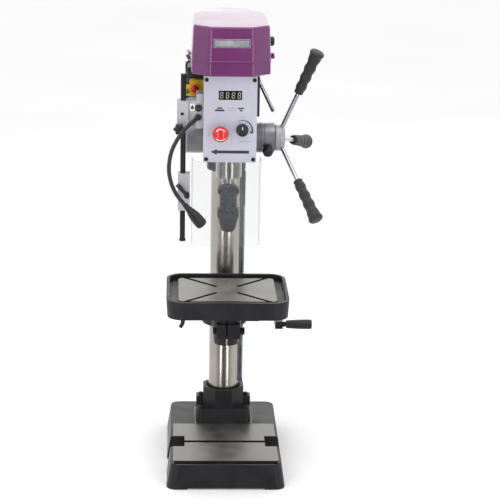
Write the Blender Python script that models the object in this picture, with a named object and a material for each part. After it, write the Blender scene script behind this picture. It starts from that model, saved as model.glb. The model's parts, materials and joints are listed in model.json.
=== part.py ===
"""Bench drill press with a belt drive, a rising table and a swinging chuck guard.

Sizes are in millimetres and are turned into metres as each mesh is made. The column's axis stands on
the origin, the bench is the plane z = 0, and the operator stands on the -Y side.
"""

import math

import bmesh
import bpy
from mathutils import Matrix, Vector

for old_object in list(bpy.data.objects):
    bpy.data.objects.remove(old_object, do_unlink=True)

MM = 0.001
GAP = 0.3  # left between pieces that touch
RUNNING = 0.4  # radial clearance round anything that turns or slides
ROUND = 24  # sides of a large round piece
SMALL_ROUND = 12  # sides of a small one
LONG = 400.0  # a cutter that goes right through

# Driving sizes
THROAT = 190.0  # from the column's axis to the spindle's
COLUMN_R, COLUMN_WALL = 36.5, 6.5

BASE_WIDTH, BASE_TOP_WIDTH, BASE_TOP = 274.0, 256.0, 61.0
BASE_REACH, BASE_TAIL = 135.0, 67.5  # ahead of the spindle, and behind the column's wall
BASE_CORNER, BASE_WALL, FOOT_HEIGHT, FOOT_LENGTH, MACHINED_STEP = 22.0, 11.0, 4.0, 48.0, 1.0
MACHINED_HALF, MACHINED_REACH = 122.0, 108.5
NOTCH_INNER, NOTCH_AHEAD, NOTCH_BEHIND = 95.0, 19.0, 47.0
SLOT_BEHIND, SLOT_NECK, SLOT_HEAD, SLOT_NECK_DEPTH, SLOT_DEPTH = 12.0, 12.0, 20.0, 11.0, 21.0
RIB, GROOVE_EDGE, GROOVE_WIDTH = 7.0, 8.0, 16.0

FLANGE_HEIGHT, COLLAR_HEIGHT, COLLAR_WALL, FLANGE_CORNER, FLANGE_DRAFT = 35.0, 81.0, 12.4, 14.0, 3.0
FLANGE_OUT_X, FLANGE_OUT_Y, GUSSET_REACH, GUSSET_HALF_Y, GUSSET_HEIGHT = 31.0, 19.5, 29.5, 14.0, 54.0

HEAD_BOTTOM, HEAD_HEIGHT, HEAD_WALL, HEAD_NOSE, HEAD_TAIL = 752.0, 201.5, 20.5, 40.0, 21.5
HEAD_SKIN, HEAD_CORNER = 11.0, 20.0
PANEL_LIP, PANEL_DEPTH, PANEL_RISE, PANEL_HEIGHT, PANEL_WALL = 2.3, 16.0, 1.0, 193.5, 3.0

RACK_DEPTH, RACK_HALF, RACK_MODULE, RACK_HEIGHT, RACK_BLANK = 9.9, 7.0, 2.0, 533.0, 86.0
RACK_TOOTH_HEIGHT, RACK_RING_HEIGHT, RACK_RING_WALL = 3.8, 20.0, 9.5
PINION_TEETH = 12

TABLE_HALF_X, TABLE_HALF_Y, TABLE_LIFT, TABLE_SKIRT = 139.5, 121.5, 5.7, 41.7
TABLE_CORNER, TABLE_RIM, TABLE_CHANNEL, TABLE_PLATE, TABLE_DRAFT = 38.0, 7.6, 20.0, 14.0, 2.5
TABLE_RIM_RISE, TABLE_CHANNEL_DEPTH = 4.0, 7.0
TABLE_SLOT_WIDTH, TABLE_SLOT_IN, TABLE_SLOT_OUT = 9.0, 34.0, 139.0
TABLE_BOSS_R, TABLE_STUB_R, TABLE_STUB_LENGTH = 34.0, 20.0, 76.0

ARM_WALL, ARM_BOTTOM, ARM_HEIGHT, ARM_NECK_HALF = 17.5, 305.0, 92.0, 27.0
NOSE_WALL_LOW, NOSE_WALL_HIGH, NOSE_RISE, NOSE_SPLIT = 8.6, 18.0, 8.0, 3.0
WORM_SHAFT_Y, WORM_R, WHEEL_R, CRANK_SHAFT_R = 16.0, 7.0, 15.5, 5.0
CRANK_LENGTH, CRANK_SECTION, CRANK_OUT, CRANK_GRIP_R = 102.0, 18.0, 62.31, 11.7
GRIP_OUT, GRIP_LENGTH = 11.0, 59.0

QUILL_R, QUILL_BORE, QUILL_BOTTOM, QUILL_LENGTH = 29.25, 16.5, 708.4, 170.0
FEED_MODULE, FEED_TEETH, FEED_Z, FEED_SHAFT_R = 2.0, 15, 790.0, 9.0
FEED_TOOTH_HEIGHT, FEED_RACK_HALF = 3.2, 8.0
SPINDLE_SPLINE_R, SPINDLE_ABOVE, ARBOR_R, DRIVE_SLEEVE_R = 9.0, 8.0, 7.2, 24.0

CHUCK_DROP, CHUCK_RING_HEIGHT, CHUCK_NECK = 23.0, 18.4, 31.0
CHUCK_SLEEVE_HEIGHT, CHUCK_TAPER_HEIGHT = 54.6, 30.2
CHUCK_RING_R, CHUCK_BODY_R, CHUCK_CORE_R, CHUCK_TIP_R = 24.6, 21.0, 19.4, 14.5
JAW_R, JAW_TILT, JAW_TRAVEL, JAW_LENGTH, JAW_TIP_RADIUS = 3.0, 16.0, 8.0, 38.0, 5.8

RING_R, RING_OUT, RING_LENGTH, RING_BOSS_WALL, LOCK_LEAN = 34.0, 4.6, 42.6, 10.0, 30.0
HUB_R, HUB_LENGTH = 29.8, 23.6
SPOKE_IN, SPOKE_TILT, SPOKE_PHASE, SPOKE_LENGTH, SPOKE_GRIP_START = 5.7, 21.0, 13.9, 232.0, 122.0
SPOKE_ROD_R, SPOKE_GRIP_R, SPOKE_GRIP_END_R = 5.0, 11.0, 17.8
CUP_R, CUP_OUT, CUP_LENGTH, CUP_WALL = 36.0, 1.0, 40.6, 3.0

PULLEY_R, MOTOR_PULLEY_R, PULLEY_RISE, PULLEY_HEIGHT, PULLEY_RIM = 60.0, 30.0, 10.5, 25.0, 3.0
BELT_THICKNESS, BELT_HEIGHT = 5.0, 17.0
MOTOR_R, MOTOR_BOTTOM, MOTOR_SHAFT_R, MOTOR_CLEAR = 64.0, 742.0, 9.0, 10.0
MOTOR_PLATE_DROP, MOTOR_PLATE, MOTOR_ROD_R, MOTOR_ROD_WALL, MOTOR_SLACK = 7.5, 14.0, 5.5, 5.0, 6.0

TRAY_HEIGHT, LID_HEIGHT, COVER_WALL, LID_DRAFT = 31.0, 77.0, 2.5, 3.0
COVER_OVERHANG, COVER_REACH, COVER_FRONT_HALF, COVER_CHAMFER = 30.0, 109.0, 49.0, 36.0
COVER_TAPER_Y, COVER_TAPER, COVER_BACK_HALF, COVER_TAIL = -60.0, 1.0, 52.0, 48.0
LID_SLOPE_Y, LID_BACK_DROP = 28.0, 22.0
HINGE_OUT, HINGE_R, HINGE_PIN_R, HINGE_AHEAD, HINGE_LENGTH, HINGE_LUG = 7.6, 4.2, 1.8, 24.0, 78.0, 14.0

BOX_OUT, BOX_AHEAD, BOX_DEPTH, BOX_BOTTOM, BOX_TOP = 35.0, 5.0, 47.0, 827.0, 905.0
DRIVE_OUT, DRIVE_FRONT, DRIVE_BACK, DRIVE_DROP, DRIVE_HEIGHT = 42.0, -112.0, 12.0, 9.5, 94.0
STATION_RISE, STATION_HEIGHT, STATION_PLATE_HEIGHT = 31.0, 37.0, 24.0
POST_OUT, POST_BEHIND, POST_R, POST_BOTTOM, POST_TOP = 12.0, 10.0, 6.0, 566.0, 948.0
SLIDER_BOTTOM, SLIDER_TOP, GUARD_BOTTOM, GUARD_TOP, GUARD_THICK = 640.0, 724.0, 563.0, 755.0, 3.0
LAMP_NECK_R, LAMP_END_R, LAMP_LENGTH, CABLE_R = 4.75, 13.5, 64.0, 2.2

# On the front panel, as (x, z)
ESTOP = (-21.6, 820.6)
KNOB = (27.1, 827.0)
DISPLAY = ((-26.0, 25.6), (894.0, 914.4))
# On the box at the left, as (out from the head's side, z)
COOLANT = (13.6, 873.5)
# On the start and stop station, as (out from the head's side, height above the drive box's bottom)
RED_BUTTON = (22.5, 49.0)
GREEN_BUTTON = (38.0, 41.0)

# Worked out from the driving sizes
SPINDLE_Y = -THROAT
BASE_FRONT, BASE_BACK = SPINDLE_Y - BASE_REACH, COLUMN_R + BASE_TAIL
BASE_BOSS_R = COLUMN_R + COLLAR_WALL + 1.1
MACHINED_FRONT, MACHINED_BACK = SPINDLE_Y - MACHINED_REACH, -COLUMN_R - FLANGE_OUT_Y - 4.5
NOTCH_FRONT, NOTCH_BACK = SPINDLE_Y - NOTCH_AHEAD, SPINDLE_Y + NOTCH_BEHIND
SLOT_Y = SPINDLE_Y + SLOT_BEHIND
FLANGE_HALF_X, FLANGE_HALF_Y = COLUMN_R + FLANGE_OUT_X, COLUMN_R + FLANGE_OUT_Y
COLLAR_FLATS, GUSSET_OUT = 2 * (COLUMN_R + COLLAR_WALL), COLUMN_R + GUSSET_REACH

HEAD_TOP, HEAD_HALF = HEAD_BOTTOM + HEAD_HEIGHT, COLUMN_R + HEAD_WALL
HEAD_FRONT, HEAD_BACK = SPINDLE_Y - HEAD_NOSE, COLUMN_R + HEAD_TAIL
PANEL_HALF, PANEL_FRONT = HEAD_HALF + PANEL_LIP, HEAD_FRONT - PANEL_DEPTH
PANEL_BOTTOM = HEAD_BOTTOM + PANEL_RISE
PANEL_TOP = PANEL_BOTTOM + PANEL_HEIGHT

RACK_OUT = COLUMN_R + RACK_DEPTH
RACK_BOTTOM = BASE_TOP + COLLAR_HEIGHT + 9.0
RACK_TOP = RACK_BOTTOM + RACK_HEIGHT
RACK_TEETH_TOP = RACK_TOP - RACK_BLANK
RACK_RING_R = COLUMN_R + RACK_RING_WALL
RACK_PITCH_X = RACK_OUT - RACK_TOOTH_HEIGHT * 0.45
PINION_R = RACK_MODULE * PINION_TEETH / 2
PINION_X, PINION_Z = RACK_PITCH_X + PINION_R, ARM_BOTTOM + 42.0
CRANK_Z = PINION_Z - WHEEL_R - WORM_R - 0.6
CRANK_X = PINION_X + CRANK_OUT
CRANK_SHAFT_END = CRANK_X + CRANK_SECTION
GRIP_START = CRANK_SHAFT_END + GRIP_OUT
GRIP_END = GRIP_START + GRIP_LENGTH
ARM_R, ARM_TOP = COLUMN_R + ARM_WALL, ARM_BOTTOM + ARM_HEIGHT
NOSE_R_LOW, NOSE_R_HIGH = TABLE_STUB_R + NOSE_WALL_LOW, TABLE_STUB_R + NOSE_WALL_HIGH
TABLE_Y = SPINDLE_Y
TABLE_BOTTOM = ARM_TOP + TABLE_LIFT
TABLE_TOP_Z = TABLE_BOTTOM + TABLE_SKIRT
TABLE_FACE = TABLE_TOP_Z - TABLE_RIM_RISE

QUILL_TOP = QUILL_BOTTOM + QUILL_LENGTH
CHUCK_TOP = QUILL_BOTTOM - CHUCK_DROP
CHUCK_RING_BOTTOM = CHUCK_TOP - CHUCK_RING_HEIGHT
CHUCK_SLEEVE_TOP = CHUCK_RING_BOTTOM - CHUCK_NECK
CHUCK_TIP = CHUCK_SLEEVE_TOP - CHUCK_SLEEVE_HEIGHT
CHUCK_TAPER = CHUCK_TIP + CHUCK_TAPER_HEIGHT
FEED_R = FEED_MODULE * FEED_TEETH / 2
RACK_FLAT_Y = SPINDLE_Y + QUILL_R - 1.2
FEED_Y = RACK_FLAT_Y - FEED_TOOTH_HEIGHT * 0.45 + FEED_R
RING_BOSS_R = FEED_SHAFT_R + RING_BOSS_WALL
RING_START = HEAD_HALF + RING_OUT
RING_END = RING_START + RING_LENGTH
HUB_START = RING_END + 0.8
HUB_END = HUB_START + HUB_LENGTH
SPOKE_APEX = HUB_START + SPOKE_IN
CUP_START = HEAD_HALF + CUP_OUT
CUP_END = CUP_START + CUP_LENGTH

TRAY_BOTTOM = HEAD_TOP + 0.5
COVER_SEAM = TRAY_BOTTOM + TRAY_HEIGHT
LID_TOP = COVER_SEAM + LID_HEIGHT
PULLEY_BOTTOM = TRAY_BOTTOM + COVER_WALL + PULLEY_RISE
SPINDLE_TOP = PULLEY_BOTTOM + PULLEY_HEIGHT + SPINDLE_ABOVE
MOTOR_Y = HEAD_BACK + MOTOR_CLEAR + MOTOR_R
MOTOR_PLATE_TOP = HEAD_TOP - MOTOR_PLATE_DROP
MOTOR_ROD_X = COLUMN_R + MOTOR_ROD_R + MOTOR_ROD_WALL
COVER_HALF = HEAD_HALF + COVER_OVERHANG
COVER_FRONT, COVER_BACK = SPINDLE_Y - COVER_REACH, MOTOR_Y + COVER_TAIL
COVER_SHOULDER_Y, COVER_TAPER_HALF = COVER_FRONT + COVER_CHAMFER, COVER_HALF - COVER_TAPER
HINGE_X, HINGE_FRONT = -COVER_HALF - HINGE_OUT, SPINDLE_Y - HINGE_AHEAD
HINGE_BACK = HINGE_FRONT + HINGE_LENGTH

BOX_LEFT, BOX_FRONT = -HEAD_HALF - BOX_OUT, HEAD_FRONT - BOX_AHEAD
BOX_BACK = BOX_FRONT + BOX_DEPTH
DRIVE_LEFT = -HEAD_HALF - DRIVE_OUT
DRIVE_TOP = HEAD_TOP - DRIVE_DROP
DRIVE_BOTTOM = DRIVE_TOP - DRIVE_HEIGHT
POST_X, POST_Y = BOX_LEFT - POST_OUT, BOX_FRONT + POST_BEHIND

MATERIALS = {
    # name: (sRGB 0-255, roughness, metallic)
    "cast_dark": ((40, 40, 44), 0.55, 0.0),
    "machined_iron": ((125, 124, 122), 0.42, 1.0),
    "ground_steel": ((140, 137, 132), 0.25, 1.0),
    "bright_steel": ((175, 176, 180), 0.25, 1.0),
    "aluminium": ((142, 142, 146), 0.4, 1.0),
    "head_grey": ((206, 205, 212), 0.45, 0.0),
    "panel_grey": ((200, 199, 213), 0.4, 0.0),
    "purple": ((120, 59, 116), 0.35, 0.0),
    "black_plastic": ((28, 28, 30), 0.45, 0.0),
    "black_paint": ((24, 24, 26), 0.5, 0.0),
    "grip_rubber": ((50, 50, 52), 0.7, 0.0),
    "black_steel": ((46, 46, 48), 0.4, 1.0),
    "red_plastic": ((205, 50, 45), 0.35, 0.0),
    "green_plastic": ((20, 90, 45), 0.4, 0.0),
    "yellow_plastic": ((205, 165, 40), 0.4, 0.0),
    "belt_rubber": ((30, 30, 30), 0.8, 0.0),
    "clear_plastic": ((236, 238, 240), 0.08, 0.0),
}


def linear(level):
    """One sRGB level from 0 to 255 as the linear value that a shader takes."""
    share = level / 255
    return share / 12.92 if share <= 0.04045 else ((share + 0.055) / 1.055) ** 2.4


def material(name):
    """The named material, made the first time that it is asked for."""
    if name in bpy.data.materials:
        return bpy.data.materials[name]
    colour, roughness, metallic = MATERIALS[name]
    made = bpy.data.materials.new(name)
    made.use_nodes = True
    shader = made.node_tree.nodes["Principled BSDF"]
    shader.inputs["Base Color"].default_value = (*[linear(c) for c in colour], 1)
    shader.inputs["Roughness"].default_value = roughness
    shader.inputs["Metallic"].default_value = metallic
    if name == "clear_plastic":
        shader.inputs["Alpha"].default_value = 0.35
    return made


def new_object(name, bm, look=None):
    """An object from a bmesh in millimetres. Without a look it is a helper that only cuts or joins."""
    bmesh.ops.remove_doubles(bm, verts=bm.verts, dist=1e-4)
    bmesh.ops.recalc_face_normals(bm, faces=bm.faces)
    bmesh.ops.scale(bm, vec=Vector((MM, MM, MM)), verts=bm.verts)
    mesh = bpy.data.meshes.new(name)
    bm.to_mesh(mesh)
    bm.free()
    mesh.shade_smooth()
    mesh.set_sharp_from_angle(angle=math.radians(35))
    made = bpy.data.objects.new(name, mesh)
    bpy.context.scene.collection.objects.link(made)
    if look:
        mesh.materials.append(material(look))
    else:
        made.hide_render = True
        made.display_type = "WIRE"
    return made


def along(axis):
    """The matrix that turns +Z onto a named axis or a direction.

    X and Y keep an outline's order: (y, z) and (x, z).
    """
    named = {
        "X": Matrix(((0, 0, 1), (1, 0, 0), (0, 1, 0))),
        "Y": Matrix(((1, 0, 0), (0, 0, 1), (0, 1, 0))),
        "Z": Matrix.Identity(3),
    }
    if isinstance(axis, str):
        return named[axis].to_4x4()
    return Vector(axis).to_track_quat("Z", "Y").to_matrix().to_4x4()


def block(name, x, y, z, look=None):
    """A box between three pairs of limits."""
    bm = bmesh.new()
    bmesh.ops.create_cube(bm, size=1)
    middle = Vector([(a + b) / 2 for a, b in (x, y, z)])
    size = Vector([abs(b - a) for a, b in (x, y, z)])
    bmesh.ops.transform(bm, matrix=Matrix.Translation(middle) @ Matrix.Diagonal((*size, 1)), verts=bm.verts)
    return new_object(name, bm, look)


def prism(name, outline, low, high, axis="Z", look=None, top=None):
    """An outline drawn across an axis and carried along it. X takes (y, z), Y takes (x, z), Z takes (x, y).
    A second outline with as many points gives the far end another shape."""
    bm = bmesh.new()
    turn = along(axis)
    ends = []
    for level, points in ((low, outline), (high, top or outline)):
        ends.append([bm.verts.new(turn @ Vector((a, b, level))) for a, b in points])
    bm.faces.new(ends[0])
    bm.faces.new(ends[1])
    count = len(outline)
    for i in range(count):
        after = (i + 1) % count
        bm.faces.new((ends[0][i], ends[0][after], ends[1][after], ends[1][i]))
    return new_object(name, bm, look)


def turned(name, profile, origin=(0, 0, 0), axis="Z", look=None, sides=ROUND):
    """A profile of (radius, height) points spun about an axis. A profile that misses the axis is a ring."""
    bm = bmesh.new()
    verts = [bm.verts.new((radius, 0, height)) for radius, height in profile]
    loop = min(radius for radius, _ in profile) > 0
    pairs = list(zip(verts, verts[1:])) + ([(verts[-1], verts[0])] if loop else [])
    edges = [bm.edges.new(pair) for pair in pairs]
    bmesh.ops.spin(
        bm, geom=verts + edges, cent=(0, 0, 0), axis=(0, 0, 1), angle=math.tau, steps=sides, use_merge=True
    )
    bmesh.ops.transform(bm, matrix=Matrix.Translation(Vector(origin)) @ along(axis), verts=bm.verts)
    return new_object(name, bm, look)


def rod(name, start, end, radius, look=None, sides=SMALL_ROUND, end_radius=None):
    """A round bar between two points, tapered if it has an end radius."""
    start, end = Vector(start), Vector(end)
    bm = bmesh.new()
    far = radius if end_radius is None else end_radius
    bmesh.ops.create_cone(
        bm, cap_ends=True, segments=sides, radius1=radius, radius2=far, depth=(end - start).length
    )
    turn = along(end - start)
    bmesh.ops.transform(bm, matrix=Matrix.Translation((start + end) / 2) @ turn, verts=bm.verts)
    return new_object(name, bm, look)


def ball(name, centre, radius, look=None):
    bm = bmesh.new()
    bmesh.ops.create_uvsphere(bm, u_segments=12, v_segments=8, radius=radius)
    bmesh.ops.translate(bm, verts=bm.verts, vec=Vector(centre))
    return new_object(name, bm, look)


def boolean(target, operation, others):
    for other in others:
        modifier = target.modifiers.new(f"{operation.lower()}_{other.name}", "BOOLEAN")
        modifier.operation = operation
        modifier.solver = "EXACT"
        modifier.object = other
    return target


def fuse(target, *others):
    return boolean(target, "UNION", others)


def cut(target, *others):
    return boolean(target, "DIFFERENCE", others)


def set_pivot(piece, point):
    """Moves a piece's origin onto its joint's axis, with its shape left where it is."""
    point = Vector(point) * MM
    piece.data.transform(Matrix.Translation(-point))
    piece.location = point
    return piece


def rounded_rectangle(x, y, radius, steps=4):
    """The outline of a rectangle between two pairs of limits, with round corners."""
    points = []
    for cx, cy, start in (
        (x[1] - radius, y[1] - radius, 0),
        (x[0] + radius, y[1] - radius, 90),
        (x[0] + radius, y[0] + radius, 180),
        (x[1] - radius, y[0] + radius, 270),
    ):
        for i in range(steps + 1):
            angle = math.radians(start + 90 * i / steps)
            points.append((cx + radius * math.cos(angle), cy + radius * math.sin(angle)))
    return points


def circle(radius, sides, centre=(0, 0), phase=0.0):
    angles = [phase + math.tau * i / sides for i in range(sides)]
    return [(centre[0] + radius * math.cos(a), centre[1] + radius * math.sin(a)) for a in angles]


def polar(radius, degrees):
    return radius * math.cos(math.radians(degrees)), radius * math.sin(math.radians(degrees))


# ---- Base, flange and column ----


def make_base():
    bottom = rounded_rectangle(
        (-BASE_WIDTH / 2, BASE_WIDTH / 2), (BASE_FRONT, BASE_BACK), BASE_CORNER
    )
    top_half = BASE_TOP_WIDTH / 2
    top = rounded_rectangle((-top_half, top_half), (BASE_FRONT + 3, BASE_BACK - 5), BASE_CORNER)
    casting_top = BASE_TOP - MACHINED_STEP
    base = prism("base_casting", bottom, 0, casting_top, look="cast_dark", top=top)
    pad = block(
        "machined_pad",
        (-MACHINED_HALF, MACHINED_HALF),
        (MACHINED_FRONT, MACHINED_BACK),
        (casting_top - 5, BASE_TOP),
    )
    flange_seat = block(
        "flange_seat",
        (-FLANGE_HALF_X - 2, FLANGE_HALF_X + 2),
        (-FLANGE_HALF_Y - 2, FLANGE_HALF_Y + 2),
        (casting_top - 5, BASE_TOP),
    )
    fuse(base, pad, flange_seat)
    inner = top_half - BASE_WALL
    pocket_top = casting_top - BASE_WALL
    rib = RIB
    slot_front, slot_back = NOTCH_FRONT - 14, NOTCH_BACK + 14
    pockets = (
        ("front_left", (-inner, -rib), (BASE_FRONT + 15, slot_front)),
        ("front_right", (rib, inner), (BASE_FRONT + 15, slot_front)),
        ("middle", (-BASE_BOSS_R, BASE_BOSS_R), (slot_back, -BASE_BOSS_R - 6)),
        ("rear_left", (-inner, -BASE_BOSS_R - 8), (slot_back, BASE_BACK - 18)),
        ("rear_right", (BASE_BOSS_R + 8, inner), (slot_back, BASE_BACK - 18)),
    )
    for name, x, y in pockets:
        cut(base, block(f"pocket_{name}", x, y, (-5, pocket_top)))
    foot = FOOT_LENGTH
    half = BASE_WIDTH / 2
    for name, x, y in (
        ("across", (-half - 5, half + 5), (BASE_FRONT + foot, -BASE_BOSS_R - 2)),
        ("across_back", (-half - 5, half + 5), (BASE_BOSS_R, BASE_BACK - foot + 6)),
        ("left", (-half - 5, -BASE_BOSS_R), (-BASE_BOSS_R - 4, BASE_BOSS_R + 2)),
        ("right", (BASE_BOSS_R, half + 5), (-BASE_BOSS_R - 4, BASE_BOSS_R + 2)),
        ("front", (-half + foot, half - foot), (BASE_FRONT - 5, BASE_FRONT + foot + 2)),
        ("back", (-half + foot, half - foot), (BASE_BACK - foot, BASE_BACK + 5)),
    ):
        cut(base, block(f"under_{name}", x, y, (-5, FOOT_HEIGHT)))
    for side in (-1, 1):
        reach = sorted((side * NOTCH_INNER, side * (half + 10)))
        cut(base, block(f"notch_{side}", reach, (NOTCH_FRONT, NOTCH_BACK), (-5, BASE_TOP + 5)))
    length = (-NOTCH_INNER - 5, NOTCH_INNER + 5)
    neck = (SLOT_Y - SLOT_NECK / 2, SLOT_Y + SLOT_NECK / 2)
    head = (SLOT_Y - SLOT_HEAD / 2, SLOT_Y + SLOT_HEAD / 2)
    slot_roof = BASE_TOP - SLOT_NECK_DEPTH
    cut(
        base,
        block("slot_neck", length, neck, (slot_roof - 2, BASE_TOP + 5)),
        block("slot_head", length, head, (BASE_TOP - SLOT_DEPTH, slot_roof)),
        block(
            "drip_groove",
            (-inner - 2, inner + 2),
            (BASE_FRONT + GROOVE_EDGE, BASE_FRONT + GROOVE_EDGE + GROOVE_WIDTH),
            (casting_top - 5, LONG),
        ),
    )


def make_flange():
    low, slab = BASE_TOP + GAP, BASE_TOP + FLANGE_HEIGHT
    top = BASE_TOP + COLLAR_HEIGHT
    outline = rounded_rectangle(
        (-FLANGE_HALF_X, FLANGE_HALF_X), (-FLANGE_HALF_Y, FLANGE_HALF_Y), FLANGE_CORNER
    )
    shrunk = rounded_rectangle(
        (-FLANGE_HALF_X + FLANGE_DRAFT, FLANGE_HALF_X - FLANGE_DRAFT),
        (-FLANGE_HALF_Y + FLANGE_DRAFT, FLANGE_HALF_Y - FLANGE_DRAFT),
        FLANGE_CORNER,
    )
    flange = prism("column_flange", outline, low, slab, look="cast_dark", top=shrunk)
    corner_r = COLLAR_FLATS / 2 / math.cos(math.pi / 8)
    collar = circle(corner_r, 8, phase=math.pi / 8)
    fuse(flange, prism("collar", collar, slab - 5, top))
    for side in (-1, 1):
        reach = sorted((side * (COLLAR_FLATS / 2 - 12), side * GUSSET_OUT))
        gusset = block(
            f"gusset_{side}", reach, (-GUSSET_HALF_Y, GUSSET_HALF_Y), (slab - 5, BASE_TOP + GUSSET_HEIGHT)
        )
        fuse(flange, gusset)
    cut(
        flange,
        rod("flange_bore", (0, 0, 0), (0, 0, LONG), COLUMN_R + GAP, sides=ROUND),
        turned(
            "rack_seat",
            [
                (0, top - 9),
                (COLUMN_R + 1, top - 9),
                (RACK_RING_R - 3, top + 1),
                (RACK_RING_R - 3, LONG),
                (0, LONG),
            ],
        ),
    )


def make_column():
    low, top = BASE_TOP + 2 * GAP, HEAD_TOP - 14
    inner = COLUMN_R - COLUMN_WALL
    turned(
        "column_tube",
        [(COLUMN_R, low), (COLUMN_R, top), (inner, top), (inner, low)],
        look="ground_steel",
    )


# ---- Rack, arm and table ----


def rack_outline(low, high, teeth_high):
    """The rack seen from the front, as (x, z): a plain bar with straight-sided teeth on its outer side."""
    pitch = math.pi * RACK_MODULE
    inner, root = COLUMN_R + GAP, RACK_OUT - RACK_TOOTH_HEIGHT
    points = [(inner, high), (inner, low), (RACK_OUT, low)]
    first = math.ceil((low + 8 - PINION_Z) / pitch)
    last = math.floor((teeth_high - PINION_Z) / pitch)
    for i in range(first, last + 1):
        middle = PINION_Z + i * pitch
        points.append((RACK_OUT, middle - pitch * 0.36))
        points.append((root, middle - pitch * 0.16))
        points.append((root, middle + pitch * 0.16))
        points.append((RACK_OUT, middle + pitch * 0.36))
    points.append((RACK_OUT, high - 5))
    points.append((RACK_OUT - 5, high))
    return points


def gear_outline(teeth, module, height):
    """A straight-sided pinion, with a tooth that points along the first axis's negative side."""
    pitch_r = module * teeth / 2
    tip, root = pitch_r + height * 0.42, pitch_r - height * 0.62
    step = math.tau / teeth
    points = []
    for i in range(teeth):
        middle = math.pi + i * step
        for radius, share in ((root, -0.25), (tip, -0.11), (tip, 0.11), (root, 0.25)):
            angle = middle + share * step
            points.append((radius * math.cos(angle), radius * math.sin(angle)))
    return points


def make_rack():
    rack = prism(
        "column_rack",
        rack_outline(RACK_BOTTOM, RACK_TOP, RACK_TEETH_TOP),
        -RACK_HALF,
        RACK_HALF,
        axis="Y",
        look="bright_steel",
    )
    set_pivot(rack, (0, 0, RACK_BOTTOM))
    low, high = RACK_TOP + GAP, RACK_TOP + RACK_RING_HEIGHT
    inner = COLUMN_R + GAP
    turned(
        "rack_ring",
        [(RACK_RING_R, low), (RACK_RING_R, high), (inner, high), (inner, low)],
        look="ground_steel",
    )


def make_arm():
    """The bracket that climbs the column: a collar, a neck and a split nose that holds the table's stub."""
    arm = rod("table_arm", (0, 0, ARM_BOTTOM), (0, 0, ARM_TOP), ARM_R, "cast_dark", ROUND)
    neck_front = TABLE_Y + 10
    neck = prism(
        "neck",
        [(-ARM_NECK_HALF, ARM_BOTTOM + 30), (ARM_NECK_HALF, ARM_BOTTOM + 30)]
        + [(ARM_NECK_HALF + 4, ARM_TOP), (-ARM_NECK_HALF - 4, ARM_TOP)],
        neck_front,
        -20,
        axis="Y",
    )
    nose = rod(
        "nose", (
            0, TABLE_Y, ARM_BOTTOM + NOSE_RISE
        ), (0, TABLE_Y, ARM_TOP), NOSE_R_LOW, sides=ROUND, end_radius=NOSE_R_HIGH
    )
    ear_y = TABLE_Y - NOSE_R_LOW + 2
    ears = block("nose_ears", (-24, 30), (ear_y - 12, ear_y + 14), (PINION_Z - 14, PINION_Z + 20))
    housing = block(
        "worm_housing",
        (ARM_R - 16, PINION_X + PINION_R + 16),
        (-20, WORM_SHAFT_Y + 16),
        (CRANK_Z - 14, PINION_Z + PINION_R + 12),
    )
    lock_ears = block("lock_ears", (-16, 16), (ARM_R - 12, ARM_R + 20), (ARM_BOTTOM + 22, ARM_TOP - 22))
    fuse(arm, neck, nose, ears, housing, lock_ears)
    pinion_room = PINION_R + 4
    cut(
        arm,
        rod("arm_bore", (0, 0, 0), (0, 0, LONG * 2), COLUMN_R + RUNNING, sides=ROUND),
        block("rack_way", (0, RACK_OUT + 1), (-RACK_HALF - 1, RACK_HALF + 1), (0, LONG * 2)),
        rod(
            "stub_bore", (0, TABLE_Y, 0), (0, TABLE_Y, LONG * 2), TABLE_STUB_R + RUNNING, sides=ROUND
        ),
        block("nose_split", (-NOSE_SPLIT / 2, NOSE_SPLIT / 2), (TABLE_Y - 90, TABLE_Y), (0, LONG * 2)),
        block("lock_split", (-NOSE_SPLIT / 2, NOSE_SPLIT / 2), (0, ARM_R + 40), (0, LONG * 2)),
        rod("clamp_hole", (-LONG, ear_y - 4, PINION_Z + 3), (LONG, ear_y - 4, PINION_Z + 3), 4 + RUNNING),
        rod("lock_hole", (-LONG, ARM_R + 9, PINION_Z + 4), (LONG, ARM_R + 9, PINION_Z + 4), 5 + RUNNING),
        rod(
            "pinion_way",
            (PINION_X, -RACK_HALF - 1, PINION_Z),
            (PINION_X, RACK_HALF + 1, PINION_Z),
            pinion_room,
        ),
        rod(
            "pinion_shaft_way",
            (PINION_X, -16, PINION_Z),
            (PINION_X, WORM_SHAFT_Y + 10, PINION_Z),
            5 + RUNNING,
        ),
        rod(
            "wheel_way",
            (PINION_X, WORM_SHAFT_Y - 6, PINION_Z),
            (PINION_X, WORM_SHAFT_Y + 6, PINION_Z),
            WHEEL_R + 1,
        ),
        rod(
            "worm_way",
            (PINION_X - 14, WORM_SHAFT_Y, CRANK_Z),
            (PINION_X + 14, WORM_SHAFT_Y, CRANK_Z),
            WORM_R + 1,
        ),
        rod(
            "crank_way",
            (PINION_X - 5, WORM_SHAFT_Y, CRANK_Z),
            (LONG, WORM_SHAFT_Y, CRANK_Z),
            CRANK_SHAFT_R + RUNNING,
        ),
        block(
            "assembly_way",
            (PINION_X - 12, PINION_X + 12),
            (WORM_SHAFT_Y - 5, WORM_SHAFT_Y + 5),
            (0, PINION_Z),
        ),
    )
    set_pivot(arm, (0, 0, ARM_BOTTOM))


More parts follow.
